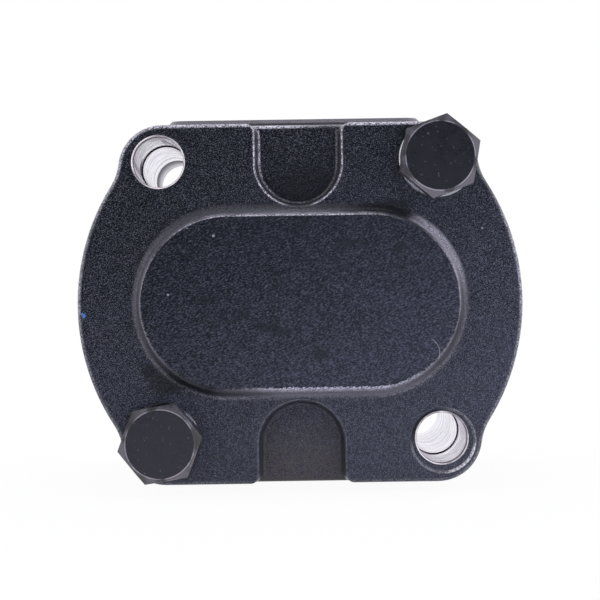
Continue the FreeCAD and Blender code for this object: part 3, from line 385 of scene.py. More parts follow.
# Soft boxes: place from the middle of the cover's face and size in metres, watts and tint
WHITE_LIGHT = (1.0, 1.0, 1.0)
COOL_LIGHT = (0.66, 0.72, 1.0)
SOFT_BOXES = {
    "top_box": ((0, 0.30, 0.70), (1.6, 0.9), 4.0, WHITE_LIGHT),
    "left_box": ((-0.80, 0.10, 0.12), (0.8, 0.6), 1.6, WHITE_LIGHT),
    "right_box": ((0.80, 0.06, 0.16), (0.8, 0.6), 2.4, WHITE_LIGHT),
    "front_left": ((-0.60, -0.80, 0.45), (0.5, 0.5), 0.6, WHITE_LIGHT),
    "front_right": ((0.70, -0.75, 0.10), (0.5, 0.5), 0.8, WHITE_LIGHT),
    "low_right": ((0.14, -0.50, -0.01), (0.30, 0.06), 0.25, COOL_LIGHT),
}


class Nodes:
    """Adds nodes to the tree of a material or of the world and links them."""

    def __init__(self, owner):
        self.owner = owner
        owner.use_nodes = True
        self.tree = owner.node_tree
        self.tree.nodes.clear()

    def add(self, kind, settings=None, **inputs):
        """A node with its settings, and its inputs set by value or by link."""
        node = self.tree.nodes.new(kind)
        for key, value in (settings or {}).items():
            setattr(node, key, value)
        for key, value in inputs.items():
            self.put(node.inputs[key.replace("_", " ")], value)
        return node

    def put(self, socket, value):
        """Links an output to a socket, or gives the socket a value."""
        if isinstance(value, bpy.types.NodeSocket):
            self.tree.links.new(value, socket)
        else:
            socket.default_value = value

    def fill(self, node, *values):
        """Puts values into a node's inputs, in their order."""
        for socket, value in zip(node.inputs, values):
            self.put(socket, value)
        return node

    def math(self, operation, *values):
        return self.fill(self.add("ShaderNodeMath", {"operation": operation}), *values).outputs[0]

    def times(self, first, *others):
        """Product of all its values."""
        for other in others:
            first = self.math("MULTIPLY", first, other)
        return first

    def largest(self, first, *others):
        for other in others:
            first = self.math("MAXIMUM", first, other)
        return first

    def plus(self, first, second):
        return self.math("ADD", first, second)

    def minus(self, first, second):
        return self.math("SUBTRACT", first, second)

    def rest_of(self, share):
        """What a share leaves of 1."""
        return self.minus(1.0, share)

    def apart(self, first, second):
        """How far two numbers are from each other."""
        return self.math("ABSOLUTE", self.minus(first, second))

    def length(self, across, up):
        """Length of a line that goes so far across and so far up."""
        return self.math("SQRT", self.plus(self.times(across, across), self.times(up, up)))

    def ramp(self, value, low, high, low_to=0.0, high_to=1.0):
        """Takes low..high to low_to..high_to, smoothly and held at the ends."""
        node = self.add("ShaderNodeMapRange", {"interpolation_type": "SMOOTHSTEP"})
        return self.fill(node, value, low, high, low_to, high_to).outputs[0]

    def fade(self, value, start, end):
        """1 up to start, falling to 0 at end."""
        return self.ramp(value, start, end, 1.0, 0.0)

    def mix_node(self, data_type, first_input, output, factor, first, second):
        """A mix of one data type, whose inputs and output have places of their own."""
        node = self.add("ShaderNodeMix", {"data_type": data_type})
        self.put(node.inputs[0], factor)
        self.put(node.inputs[first_input], first)
        self.put(node.inputs[first_input + 1], second)
        return node.outputs[output]

    def blend(self, factor, first, second):
        """Mix of two numbers."""
        return self.mix_node("FLOAT", 2, 0, factor, first, second)

    def mix_normals(self, factor, first, second):
        return self.mix_node("VECTOR", 4, 1, factor, first, second)

    def mix(self, factor, first, second):
        """Mix of two colours."""
        return self.mix_node("RGBA", 6, 2, factor, first, second)

    def mix_shaders(self, factor, first, second):
        return self.fill(self.add("ShaderNodeMixShader"), factor, first, second).outputs[0]

    def seen_and_glossy(self):
        """1 for rays of the camera and through clear things, and 1 for rays of gloss."""
        path = self.add("ShaderNodeLightPath").outputs
        seen = self.largest(path["Is Camera Ray"], path["Is Transmission Ray"])
        return seen, path["Is Glossy Ray"]


class Surface(Nodes):
    """Nodes of one material. A place on the object has the frame's own coordinates."""

    def __init__(self, name):
        super().__init__(bpy.data.materials.new(name))
        self.place = self.add("ShaderNodeTexCoord").outputs["Object"]
        self.x, self.y, self.z = self.add("ShaderNodeSeparateXYZ", Vector=self.place).outputs

    def facing(self):
        """-1 where the surface faces the camera, 0 on its sides."""
        geometry = self.add("ShaderNodeNewGeometry")
        return self.add("ShaderNodeSeparateXYZ", Vector=geometry.outputs["True Normal"]).outputs[1]

    def noise(self, size, detail=2.0, roughness=0.5, stretch=None, turn=0.0):
        """Noise of features about size metres across, drawn out by stretch on axes turned about Y."""
        place = self.place
        if stretch:
            place = self.add(
                "ShaderNodeMapping",
                {"vector_type": "TEXTURE"},
                Vector=place,
                Rotation=(0.0, math.radians(-turn), 0.0),
                Scale=stretch,
            ).outputs[0]
        settings = {"Vector": place, "Scale": 1 / size, "Detail": detail, "Roughness": roughness}
        return self.add("ShaderNodeTexNoise", **settings).outputs["Fac"]

    def rings(self, spacing):
        """Noise in rings round the drive shaft's axis, as a turning cutter leaves them."""
        turn = self.math("DIVIDE", distance_to(self, DRIVE_X, DRIVE_Z), spacing)
        return self.add("ShaderNodeTexNoise", {"noise_dimensions": "1D"}, W=turn, Detail=2.0).outputs["Fac"]

    def bump(self, height, depth):
        """Bump of a height map that stands for depth metres."""
        return self.add("ShaderNodeBump", Strength=1.0, Distance=depth, Height=height).outputs[0]

    def behind(self, start, end):
        """Rises from 0 to 1 between two depths behind the cover's face."""
        return self.ramp(self.y, FACE_Y + start, FACE_Y + end)

    def down_to(self, start, end):
        """Falls from 1 to 0 between two depths behind the cover's face."""
        return self.fade(self.y, FACE_Y + start, FACE_Y + end)

    def finish(self, **inputs):
        """Principled surface as the material's output."""
        surface = self.add("ShaderNodeBsdfPrincipled", **inputs)
        self.add("ShaderNodeOutputMaterial", Surface=surface.outputs[0])
        return self.owner


class Casting(Surface):
    """A painted casting, with the noises that its paint, marks and metal share, and its boss's top."""

    def __init__(self, name, has_boss):
        super().__init__(name)
        self.broad = self.noise(BROAD_SIZE, 3.0)
        self.patch = self.noise(PATCH_SIZE, 4.0, 0.6)
        self.grain = self.noise(GRAIN_SIZE, 0.6)
        self.dust = self.noise(DUST_SIZE, 1.0)
        self.wrinkle = self.noise(WRINKLE_SIZE, 1.0, 0.5, WRINKLE_STRETCH, WRINKLE_TURN)
        self.creases = self.noise(CREASE_SIZE, 1.0, 0.5, WRINKLE_STRETCH, WRINKLE_TURN)
        self.boss = self.times(self.down_to(*BOSS_TOP), BOSS_SHARE) if has_boss else 0.0
        self.fine = self.blend(self.boss, self.dust, self.creases)


def colour(red, green, blue):
    return (red, green, blue, 1.0)


def corner_place(corner):
    return CENTRE_X + corner[0] * HALF_SQUARE, corner[1] * HALF_SQUARE


def distance_to(surface, x, z, stretch=1.0):
    """Distance from a line along Y, measured in stretched steps along x."""
    across = surface.math("DIVIDE", surface.minus(surface.x, x), stretch)
    return surface.length(across, surface.minus(surface.z, z))


def distance_towards(surface, x, z, degrees):
    """Distance from a line along Y, measured in one direction only."""
    angle = math.radians(degrees)
    across = surface.times(surface.minus(surface.x, x), math.cos(angle))
    return surface.plus(across, surface.times(surface.minus(surface.z, z), math.sin(angle)))


def near_line(surface, x, z, radius):
    """1 inside a cylinder along Y, 0 outside it."""
    return surface.fade(distance_to(surface, x, z), radius - ZONE_SOFTNESS, radius + ZONE_SOFTNESS)


def corner_bores(surface, margin):
    """1 in the open corner holes, out to a margin beyond their wall."""
    holes = [near_line(surface, *corner_place(corner), HOLE_RADIUS + margin) for corner in OPEN_CORNERS]
    return surface.largest(*holes)


def shaded_side(surface):
    """1 on the lower left of the open corner holes, 0 on their other sides."""
    sides = []
    for corner in OPEN_CORNERS:
        x, z = corner_place(corner)
        towards = distance_towards(surface, x, z, SHADED_SIDE_ANGLE)
        side = surface.ramp(towards, *SHADED_SIDE_REACH)
        sides.append(surface.times(near_line(surface, x, z, HOLE_RADIUS + SHADED_SIDE_MARGIN), side))
    return surface.largest(*sides)


def rear_cover_zones(casting):
    """Shares of bare, dull and matt metal on the rear cover; the dull share is darker metal just inside the
    bores' mouths and painted shade on the holes' lower left beyond the relief's step.
    """
    drilled = corner_bores(casting, MOUTH_MARGIN)
    joint = casting.ramp(casting.y, *COVER_JOINT)
    mouth = casting.times(
        casting.minus(drilled, corner_bores(casting, WALL_MARGIN)),
        casting.down_to(*MOUTH_DEPTH),
    )
    lip = casting.times(casting.behind(*LIP_DEPTH), casting.ramp(casting.y, *LIP_FADE))
    # Painted shade on the lower left side of the holes, beyond the relief's step
    relief = casting.times(shaded_side(casting), casting.ramp(casting.y, *RELIEF_SHADE))
    dull = casting.times(casting.largest(lip, relief), casting.rest_of(mouth))
    return casting.largest(drilled, joint), dull, mouth


def port_walls(surface):
    """1 inside the two ports, 0 on the pads' painted sides and in their screw holes."""
    walls = []
    for name in ("inlet_port", "outlet_port"):
        x, y, z = MOUNTS[name]["pos_m"]
        off_axis = surface.length(surface.minus(surface.x, x), surface.minus(surface.y, y))
        off_wall = surface.minus(off_axis, MOUNTS[name]["dims"]["r_mm"] * MM)
        walls.append(surface.fade(off_wall, *PORT_MARGIN))
    return surface.largest(*walls)


def housing_zones(casting):
    """Shares of bare, dull and matt metal on the gear housing; the dull share is painted shade on the joint
    face at the holes' lower left.
    """
    top_pad = casting.ramp(casting.z, *TOP_PAD_FACE)
    bottom_pad = casting.ramp(casting.z, *BOTTOM_PAD_FACE)
    chamber = near_line(casting, CENTRE_X, 0.0, CHAMBER_REACH)
    joint = casting.times(
        casting.fade(casting.y, *HOUSING_JOINT),
        casting.fade(casting.apart(casting.z, 0.0), *JOINT_HALF_HEIGHT),
    )
    drilled = corner_bores(casting, MOUTH_MARGIN)
    bare = casting.largest(drilled, top_pad, bottom_pad, chamber, port_walls(casting), joint)
    return bare, casting.times(joint, shaded_side(casting)), joint


def front_cover_zones(casting):
    """Shares of bare, dull and matt metal on the front cover; the dull share is painted shade deep in the
    upper left bore.
    """
    face = casting.ramp(casting.y, *MOUNTING_FACE)
    pilot = near_line(casting, DRIVE_X, DRIVE_Z, PILOT_RADIUS)
    # Painted shade deep in the upper left bore
    bore_end_shade = casting.times(
        near_line(casting, *corner_place(UPPER_LEFT), HOLE_RADIUS + MOUTH_MARGIN),
        casting.ramp(casting.y, *BORE_END_SHADE_START),
        casting.ramp(casting.y, *BORE_END_SHADE_FADE),
    )
    return casting.largest(corner_bores(casting, MOUTH_MARGIN), face, pilot), bore_end_shade, 0.0


def level_by_angle(surface, levels):
    """Level by the angle round the cover's middle, from pairs of degrees and level."""
    angle = surface.math("ARCTAN2", surface.z, surface.minus(surface.x, CENTRE_X))
    turn = surface.math("DIVIDE", surface.plus(angle, math.pi), 2 * math.pi)
    node = surface.fill(surface.add("ShaderNodeValToRGB"), turn)
    stops = node.color_ramp.elements
    for degrees, level in levels[1:-1]:
        stops.new((degrees + 180) / 360)
    for stop, (degrees, level) in zip(stops, levels):
        stop.position = (degrees + 180) / 360
        stop.color = colour(level, level, level)
    return node.outputs[0]


def spots(surface, places, noise, wobble):
    """Soft-edged marks on the cover, whose edges noise moves by up to half of wobble."""
    uneven = surface.times(surface.minus(noise, 0.5), wobble)
    marks = []
    for x, z, radius, stretch in places:
        reach = surface.plus(distance_to(surface, CENTRE_X + x * MM, z * MM, stretch), uneven)
        marks.append(surface.fade(reach, radius * MM * SPOT_CORE, radius * MM))
    return surface.largest(*marks)


def scratch(surface):
    """A fine curved scratch that thins out at both ends."""
    x, z = CENTRE_X + SCRATCH_MIDDLE[0] * MM, SCRATCH_MIDDLE[1] * MM
    off_line = surface.apart(distance_to(surface, x, z), SCRATCH_RADIUS)
    angle = surface.math("ARCTAN2", surface.minus(surface.z, z), surface.minus(surface.x, x))
    start, end = SCRATCH_ENDS
    return surface.times(
        surface.fade(off_line, SCRATCH_WIDTH / 2, SCRATCH_WIDTH),
        surface.ramp(angle, math.radians(start), math.radians(start + SCRATCH_TAPER)),
        surface.fade(angle, math.radians(end - SCRATCH_TAPER), math.radians(end)),
    )


def boss_band_light(casting):
    """Share of the band of painted highlight and shade along the boss's edge and foot, and its level of
    brightness.
    """
    past_centre = casting.largest(casting.minus(casting.apart(casting.x, CENTRE_X), HALF_CENTRES), 0.0)
    wobble = casting.times(casting.minus(casting.creases, 0.5), BAND_WOBBLE)
    reach = casting.plus(casting.length(past_centre, casting.z), wobble)
    share = casting.times(
        casting.ramp(reach, *BAND_START),
        casting.fade(reach, *BAND_END),
        casting.down_to(*BAND_DEPTH),
    )
    bright_line = casting.ramp(casting.apart(reach, BAND_LINE), *BAND_LINE_WIDTH)
    return share, casting.times(level_by_angle(casting, BAND_LEVELS), bright_line)


def painted_edge_highlights(casting, band):
    """Share of painted highlight on the rounded edges round the cover's face and its pockets."""
    facing = casting.facing()
    rounded = casting.times(casting.ramp(facing, *EDGE_OFF_FACE), casting.ramp(facing, *EDGE_OFF_SIDE))

    face_edge = casting.down_to(*FACE_EDGE_DEPTH)
    pocket_edge = casting.times(
        casting.fade(casting.apart(casting.x, CENTRE_X), *POCKET_EDGE_HALF),
        casting.ramp(casting.z, *UPPER_HALF),
        casting.down_to(*POCKET_EDGE_DEPTH),
    )
    off_recess = casting.ramp(distance_to(casting, *corner_place(LOWER_RIGHT)), *OFF_RECESS)

    # The edge of the upper pocket's floor is fainter on its right side and at its foot
    right = casting.ramp(casting.minus(casting.x, CENTRE_X), *FAINT_ON_RIGHT)
    foot = casting.ramp(casting.z, *FAINT_AT_FOOT)
    fainter = casting.times(casting.behind(*INNER_EDGE_DEPTH), casting.largest(right, foot))

    ragged = casting.ramp(casting.blend(0.5, casting.dust, casting.grain), *RAGGED_EDGE)
    patchy = casting.ramp(casting.patch, *PATCHY_EDGE)
    return casting.times(
        rounded,
        casting.largest(face_edge, pocket_edge),
        off_recess,
        casting.rest_of(fainter),
        casting.rest_of(band),
        ragged,
        patchy,
        level_by_angle(casting, EDGE_LEVELS),
    )


def recess_layers(casting):
    """The recess round the lower right hole: a painted shade at its upper left, and a painted highlight on
    its rim.
    """
    x, z = corner_place(LOWER_RIGHT)
    x, z = x + RECESS_SHIFT[0], z + RECESS_SHIFT[1]
    reach = distance_to(casting, x, z)
    front = casting.down_to(*RECESS_DEPTH)
    to_lower_right = casting.minus(casting.minus(casting.x, x), casting.minus(casting.z, z))
    shade = casting.times(
        casting.fade(reach, *RECESS_EDGE),
        front,
        casting.ramp(to_lower_right, *RECESS_SHADE),
        RECESS_SHADE_STRENGTH,
    )
    rim = casting.times(
        casting.fade(casting.apart(reach, RIM_LINE), *RIM_WIDTH),
        front,
        casting.ramp(to_lower_right, *RIM_LIT),
        casting.ramp(to_lower_right, *RIM_FADE),
        casting.ramp(casting.grain, *RIM_GRAIN),
    )
    return [(shade, PAINT_SMUDGE_AND_SHADE), (rim, RECESS_RIM_HIGHLIGHT)]


def cover_layers(casting):
    """Marks of use, painted light and painted shade on the rear cover, from the lowest to the top one:
    share and colour.
    """
    smudges = spots(casting, SMUDGES, casting.patch, SMUDGE_WOBBLE)
    chips = spots(casting, CHIPS, casting.grain, CHIP_WOBBLE)
    bolt_shadows = spots(casting, PAINTED_BOLT_SHADOWS, casting.patch, BOLT_SHADOW_WOBBLE)
    pocket_shades = spots(casting, POCKET_SHADES, casting.patch, POCKET_SHADE_WOBBLE)
    blue_specks = spots(casting, BLUE_SPECKS, casting.grain, BLUE_SPECK_WOBBLE)

    in_pockets = casting.behind(*IN_POCKETS)
    # Brown tint with painted light, lighter towards the low pocket's open end
    brown_and_lit = casting.times(
        in_pockets,
        casting.ramp(casting.z, *LOW_POCKET_HEIGHT),
        casting.ramp(casting.creases, *LOW_POCKET_STREAKS),
    )

    band, band_light_level = boss_band_light(casting)
    broken_band_light = casting.times(band, casting.ramp(casting.creases, *BAND_BREAKS))
    return [
        (casting.times(smudges, casting.boss, SMUDGE_STRENGTH), PAINT_SMUDGE_AND_SHADE),
        (casting.times(chips, CHIP_STRENGTH), CHIP_COLOUR),
        # Painted shadows of the bolts
        (casting.times(bolt_shadows, BOLT_SHADOW_STRENGTH), PAINT_SMUDGE_AND_SHADE),
        # Painted shade on the upper pocket's floor
        (casting.times(pocket_shades, in_pockets, POCKET_SHADE_STRENGTH), PAINT_SMUDGE_AND_SHADE),
        # Painted highlight and shade along the boss's edge
        (broken_band_light, casting.mix(band_light_level, PAINT_SMUDGE_AND_SHADE, BAND_HIGHLIGHT)),
        # Painted highlight on the rounded edges
        (painted_edge_highlights(casting, band), EDGE_HIGHLIGHT_COLOUR),
        # Brown tint and painted light in the low pocket
        (brown_and_lit, LOW_POCKET_BROWN_AND_LIT),
        # Painted shade and painted highlight of the recess
        *recess_layers(casting),
        (casting.times(scratch(casting), SCRATCH_STRENGTH), CHIP_COLOUR),
        (casting.times(blue_specks, BLUE_SPECK_STRENGTH), BLUE_SPECK_COLOUR),
    ]


def ledge_light_layers(casting):
    """Painted light: lighter paint on the rear side of the port pad, which looks over the cover's top."""
    lit_ledge = casting.times(
        casting.ramp(casting.z, *LEDGE_HEIGHT),
        casting.ramp(casting.y, *LEDGE_FRONT),
        casting.ramp(casting.grain, *LEDGE_GRAIN),
    )
    return [(lit_ledge, LEDGE_PAINTED_LIGHT)]


def painted(casting, layers):
    """Blue-black paint: painted shade at the upper left, painted light at the lower right, under its layers
    of marks and painted light.
    """
    # Painted light and shade: tone and ground grow lighter towards the lower right
    rightward = casting.times(casting.minus(casting.x, CENTRE_X), TONE_RIGHTWARD)
    to_lower_right = casting.minus(rightward, casting.z)
    tone = casting.times(
        casting.ramp(casting.blend(TONE_PATCHES, casting.fine, casting.patch), *TONE_LEVELS),
        casting.ramp(to_lower_right, -TONE_REACH, TONE_REACH, *TONE_BY_PAINTED_LIGHT),
    )
    ground = casting.mix(casting.ramp(to_lower_right, 0.0, LIT_LOWER_RIGHT_REACH), PAINT_DARK, PAINT_LIT_LOWER_RIGHT)
    paint = casting.mix(tone, ground, PAINT_LIGHT)
    specks = casting.ramp(casting.fine, *SPECK_LEVELS)
    specks = casting.times(specks, casting.blend(casting.boss, *SPECK_SHARES))
    paint = casting.mix(specks, paint, PAINT_SPECK_AND_GLINT)
    for share, tint in layers(casting):
        paint = casting.mix(share, paint, tint)
    return paint


def bare_metal(casting, bores, cuts, dull, matt):
    """Colour and roughness of the metal: milled faces, streaked bores with stains, and dark dull metal,
    much of it painted shade.
    """
    streaks = casting.ramp(casting.noise(STREAK_SIZE, 4.0, 0.7, BORE_STRETCH), *BORE_STREAKS)
    streaked = casting.mix(streaks, BORE_METAL_LOW, BORE_METAL_HIGH)
    milled = casting.mix(casting.blend(MILLED_PATCHES, cuts, casting.broad), MILLED_LOW, MILLED_HIGH)
    stains = casting.times(
        corner_bores(casting, MOUTH_MARGIN),
        casting.ramp(casting.y, *RELIEF_STAINS),
        casting.ramp(casting.patch, *STAIN_PATCHES),
        casting.rest_of(matt),
    )
    metal = casting.mix(bores, milled, streaked)
    metal = casting.mix(stains, metal, STAINED_METAL)
    metal = casting.mix(dull, metal, DULL_SHADED_METAL)

    milled_rough = casting.ramp(casting.broad, *NOISE_SPREAD, *MILLED_ROUGHNESS)
    bore_rough = casting.ramp(casting.patch, *NOISE_SPREAD, *BORE_ROUGHNESS)
    rough = casting.blend(bores, milled_rough, bore_rough)
    rough = casting.blend(dull, rough, DULL_ROUGHNESS)
    return metal, casting.blend(matt, rough, DULL_ROUGHNESS)


def casting_material(name, layers, machined_zones, has_boss=False):
    """Paint over a grained casting, bare where the zones say that it is machined."""
    casting = Casting(name, has_boss)
    bare, dull, matt = machined_zones(casting)
    bores = casting.largest(corner_bores(casting, MOUTH_MARGIN), matt)
    cuts = casting.rings(CUT_SPACING)
    drill_marks = casting.noise(DRILL_MARK_SIZE, 2.0, 0.5, BORE_STRETCH)

    metal, metal_rough = bare_metal(casting, bores, cuts, dull, matt)
    paint_rough = casting.ramp(casting.broad, *NOISE_SPREAD, *PAINT_ROUGHNESS)
    leathery = casting.blend(WRINKLE_SHARE, casting.grain, casting.wrinkle)
    paint_bump = casting.bump(casting.blend(casting.boss, casting.grain, leathery), GRAIN_DEPTH)
    metal_bump = casting.bump(casting.blend(bores, cuts, drill_marks), CUT_DEPTH)
    return casting.finish(
        Specular_IOR_Level=PAINT_SPECULAR,
        Specular_Tint=PAINT_GLOSS_TINT,
        Base_Color=casting.mix(bare, painted(casting, layers), metal),
        Metallic=casting.times(bare, casting.rest_of(casting.times(matt, MATT_LEVEL))),
        Roughness=casting.blend(bare, paint_rough, metal_rough),
        Normal=casting.mix_normals(bare, paint_bump, metal_bump),
    )


def machined_steel(name, tint, roughness):
    """Metal with fine marks of turning and broad changes of gloss."""
    steel = Surface(name)
    marks = steel.noise(TURNING_SIZE, 2.0, 0.5, BORE_STRETCH)
    smudge = steel.noise(STEEL_SMUDGE_SIZE, 3.0)
    shade = colour(*[TURNING_SHADE * part for part in tint])
    return steel.finish(
        Base_Color=steel.mix(marks, shade, colour(*tint)),
        Metallic=1.0,
        Roughness=steel.ramp(smudge, *NOISE_SPREAD, *roughness),
        Normal=steel.bump(marks, TURNING_DEPTH),
    )


def washer_steel(name):
    """Plated steel, with painted shade on the lower left washer but for its lit edge at the upper right."""
    steel = Surface(name)
    marks = steel.noise(TURNING_SIZE)
    smudge = steel.noise(WASHER_SMUDGE_SIZE, 3.0)
    x, z = corner_place(LOWER_LEFT)
    to_upper_right = steel.plus(steel.minus(steel.x, x), steel.minus(steel.z, z))
    unlit = steel.rest_of(steel.ramp(to_upper_right, *WASHER_LIT_EDGE))
    # Painted shade over the lower left washer, but for its lit edge
    dark = steel.times(near_line(steel, x, z, BOLT_REACH), unlit, WASHER_PAINTED_SHADE_STRENGTH)
    return steel.finish(
        Base_Color=steel.mix(dark, steel.mix(marks, WASHER_LOW, WASHER_HIGH), WASHER_PAINTED_SHADE),
        Metallic=1.0,
        Roughness=steel.ramp(smudge, *NOISE_SPREAD, *WASHER_ROUGHNESS),
        Normal=steel.bump(marks, TURNING_DEPTH),
    )


def bolt_edge_highlights(steel):
    """Painted highlight lines: 1 on the rims of the bolt heads' discs and on the edges between their flats
    and front.
    """
    heads = []
    for corner, turn in BOLT_TURNS.items():
        x, z = corner_place(corner)
        rim = steel.ramp(steel.apart(distance_to(steel, x, z), BOLT_DISC_RADIUS), *DISC_RIM_WIDTH)
        flats = []
        for degrees in (30, 90, 150):
            flats.append(steel.apart(distance_towards(steel, x, z, turn + degrees), 0.0))
        edge = steel.ramp(steel.largest(*flats), *FLATS_EDGE)
        heads.append(steel.times(near_line(steel, x, z, BOLT_REACH), steel.largest(rim, edge)))
    front = steel.fade(steel.y, BOLT_FRONT_Y, BOLT_FRONT_Y + BOLT_EDGE_DEPTH)
    return steel.times(steel.largest(*heads), front)


def black_oxide_steel(name):
    """Dark bolts: the head's disc darker than its chamfer, with painted highlights on its edges and small
    scuffs.
    """
    steel = Surface(name)
    grain = steel.noise(BOLT_GRAIN_SIZE, 1.5)
    smudge = steel.noise(BOLT_SMUDGE_SIZE, 3.0, 0.6)
    uneven = steel.noise(BOLT_PATCH_SIZE)
    on_disc = steel.fade(steel.facing(), *BOLT_DISC_FACING)

    body = steel.mix(steel.ramp(uneven, *BOLT_BODY_PATCHES), BOLT_BODY_LOW, BOLT_BODY_HIGH)
    disc = steel.mix(smudge, BOLT_DISC_LOW, BOLT_DISC_HIGH)
    # Painted light: a lighter disc on the lower bolt
    disc = steel.mix(steel.ramp(steel.z, *LOWER_DISC_LIT_HEIGHT), disc, LOWER_DISC_LIT_COLOUR)
    tone = steel.mix(on_disc, body, disc)
    scuffs = steel.ramp(steel.noise(BOLT_SCUFF_SIZE), *BOLT_SCUFF_LEVELS)
    tone = steel.mix(steel.times(scuffs, on_disc, BOLT_SCUFF_STRENGTH), tone, BOLT_SCUFF_COLOUR)
    # Painted highlights on the heads' edges
    edges = steel.times(bolt_edge_highlights(steel), steel.ramp(uneven, *BOLT_EDGE_PATCHES))
    return steel.finish(
        Base_Color=steel.mix(edges, tone, BOLT_EDGE_HIGHLIGHT),
        Metallic=BOLT_METALLIC,
        Roughness=steel.ramp(smudge, *NOISE_SPREAD, *BOLT_ROUGHNESS),
        Normal=steel.bump(grain, BOLT_GRAIN_DEPTH),
    )


def moulded(name, low, high, roughness, patch_size, grain_size, grain_depth):
    """Rubber or plastic: broad patches of tone and gloss, and a fine grain."""
    surface = Surface(name)
    patch = surface.noise(patch_size)
    return surface.finish(
        Base_Color=surface.mix(patch, low, high),
        Roughness=surface.ramp(patch, *NOISE_SPREAD, *roughness),
        Normal=surface.bump(surface.noise(grain_size), grain_depth),
    )


def moulded_rubber(name):
    low, high = colour(0.012, 0.012, 0.013), colour(0.022, 0.022, 0.023)
    return moulded(name, low, high, (0.5, 0.65), 3 * MM, 0.2 * MM, 0.010 * MM)


def moulded_plastic(name):
    low, high = colour(0.66, 0.63, 0.56), colour(0.74, 0.71, 0.64)
    return moulded(name, low, high, (0.42, 0.55), 5 * MM, 0.3 * MM, 0.008 * MM)


def dress_nodes():
    """Gives every CAD node its material: the castings by name, the rest by their slot."""
    by_slot = {
        "ground_steel": machined_steel("ground_steel", (0.56, 0.555, 0.55), (0.20, 0.34)),
        "bearing_metal": machined_steel("bearing_lining", (0.55, 0.45, 0.30), (0.30, 0.45)),
        "bronze": machined_steel("bronze_plate", (0.60, 0.42, 0.20), (0.28, 0.42)),
        "seal_steel": machined_steel("pressed_steel", (0.5, 0.5, 0.5), (0.30, 0.40)),
        "dark_steel": black_oxide_steel("black_oxide"),
        "washer_steel": washer_steel("washer_with_painted_shade"),
        "black_rubber": moulded_rubber("nitrile"),
        "backup_plastic": moulded_plastic("backup_plastic"),
    }
    castings = {
        "rear_cover": casting_material("rear_cover_paint", cover_layers, rear_cover_zones, has_boss=True),
        "gear_housing": casting_material("gear_housing_paint", ledge_light_layers, housing_zones),
        "front_cover": casting_material("front_cover_paint", ledge_light_layers, front_cover_zones),
    }
    slots = {subpart["node"]: subpart["material_slot"] for subpart in frame["record"]["subparts"]}
    for node, piece in frame["nodes"].items():
        piece.data.materials.clear()
        piece.data.materials.append(castings.get(node) or by_slot[slots[node]])


def studio_world():
    """White backdrop. Gloss sees it too, but dimmer on the camera's side of the object."""
    world = bpy.data.worlds.new("studio")
    bpy.context.scene.world = world
    nodes = Nodes(world)

    def background(tint, level):
        return nodes.add("ShaderNodeBackground", Color=tint, Strength=level).outputs[0]

    direction = nodes.add("ShaderNodeTexCoord").outputs["Generated"]
    backward = nodes.add("ShaderNodeSeparateXYZ", Vector=direction).outputs[1]
    behind_object = nodes.ramp(backward, *FRONT_TO_BACK)
    seen, glossy = nodes.seen_and_glossy()
    around = background(WORLD_TINT, WORLD_LEVEL)
    ahead = background(FRONT_TINT, FRONT_LEVEL)
    white = background(WHITE, 1.0)
    reflected = nodes.mix_shaders(behind_object, ahead, white)
    unseen = nodes.mix_shaders(glossy, around, reflected)
    nodes.add("ShaderNodeOutputWorld", Surface=nodes.mix_shaders(seen, unseen, white))


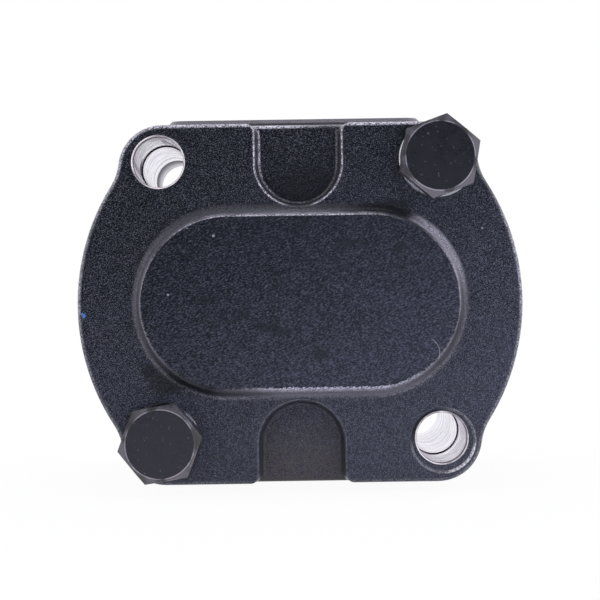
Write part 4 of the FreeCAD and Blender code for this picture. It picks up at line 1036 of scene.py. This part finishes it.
def floor_material():
    """Pale floor, white to the camera but for the object's shadow, and dimmer to gloss in front."""
    floor = Surface("pale_floor")
    tone = floor.mix(floor.noise(FLOOR_SPECKLE_SIZE), FLOOR_LOW, FLOOR_HIGH)
    lit = floor.add("ShaderNodeBsdfPrincipled", Base_Color=tone, Roughness=FLOOR_ROUGHNESS).outputs[0]

    seen, glossy = floor.seen_and_glossy()
    in_front = floor.ramp(floor.y, *FLOOR_FRONT_REACH, FLOOR_FRONT_LEVEL, 1.0)
    strength = floor.blend(glossy, 1.0, in_front)
    white = floor.add("ShaderNodeEmission", Color=WHITE, Strength=strength).outputs[0]

    from_object = floor.length(floor.minus(floor.x, CENTRE_X), floor.minus(floor.y, HOUSING_MIDDLE_Y))
    whiteness = floor.ramp(from_object, *SHADOW_REACH, SHADOW_WHITE, 1.0)
    share = floor.times(floor.largest(seen, glossy), whiteness)
    floor.add("ShaderNodeOutputMaterial", Surface=floor.mix_shaders(share, lit, white))
    return floor.owner


def add_floor():
    """A square floor under the object, as a piece of the stage."""
    z = CAD_BOX[0].z
    corners = [(x * FLOOR_HALF, y * FLOOR_HALF, z) for x, y in ((-1, -1), (1, -1), (1, 1), (-1, 1))]
    mesh = bpy.data.meshes.new("floor")
    mesh.from_pydata(corners, [], [(0, 1, 2, 3)])
    mesh.materials.append(floor_material())
    floor = bpy.data.objects.new("floor", mesh)
    bpy.context.scene.collection.objects.link(floor)


def add_lights():
    """Soft boxes, all aimed at the middle of the cover's face."""
    middle = Vector((CENTRE_X, FACE_Y, 0))
    for name, (offset, size, watts, tint) in SOFT_BOXES.items():
        light = bpy.data.lights.new(name, "AREA")
        light.shape = "RECTANGLE"
        light.size, light.size_y = size
        light.energy = watts
        light.color = tint
        lamp = bpy.data.objects.new(name, light)
        bpy.context.scene.collection.objects.link(lamp)
        lamp.location = middle + Vector(offset)
        lamp.rotation_euler = (-Vector(offset)).to_track_quat("-Z", "Y").to_euler()


def add_camera():
    """Camera in front of the rear cover, with a lens that gives the picture its width."""
    lens = bpy.data.cameras.new("camera")
    lens.sensor_width = SENSOR_WIDTH
    lens.lens = SENSOR_WIDTH * CAMERA_DISTANCE / PICTURE_WIDTH
    camera = bpy.data.objects.new("camera", lens)
    bpy.context.scene.collection.objects.link(camera)
    camera.location = (CENTRE_X, FACE_Y - CAMERA_DISTANCE, 0.0)
    level = Matrix.Rotation(math.radians(90), 4, "X")
    roll = Matrix.Rotation(math.radians(-CAMERA_ROLL), 4, "Z")
    camera.rotation_euler = (level @ roll).to_euler()
    bpy.context.scene.camera = camera


dress_nodes()
studio_world()
add_floor()
add_lights()
add_camera()
bpy.context.scene.view_settings.view_transform = "Standard"
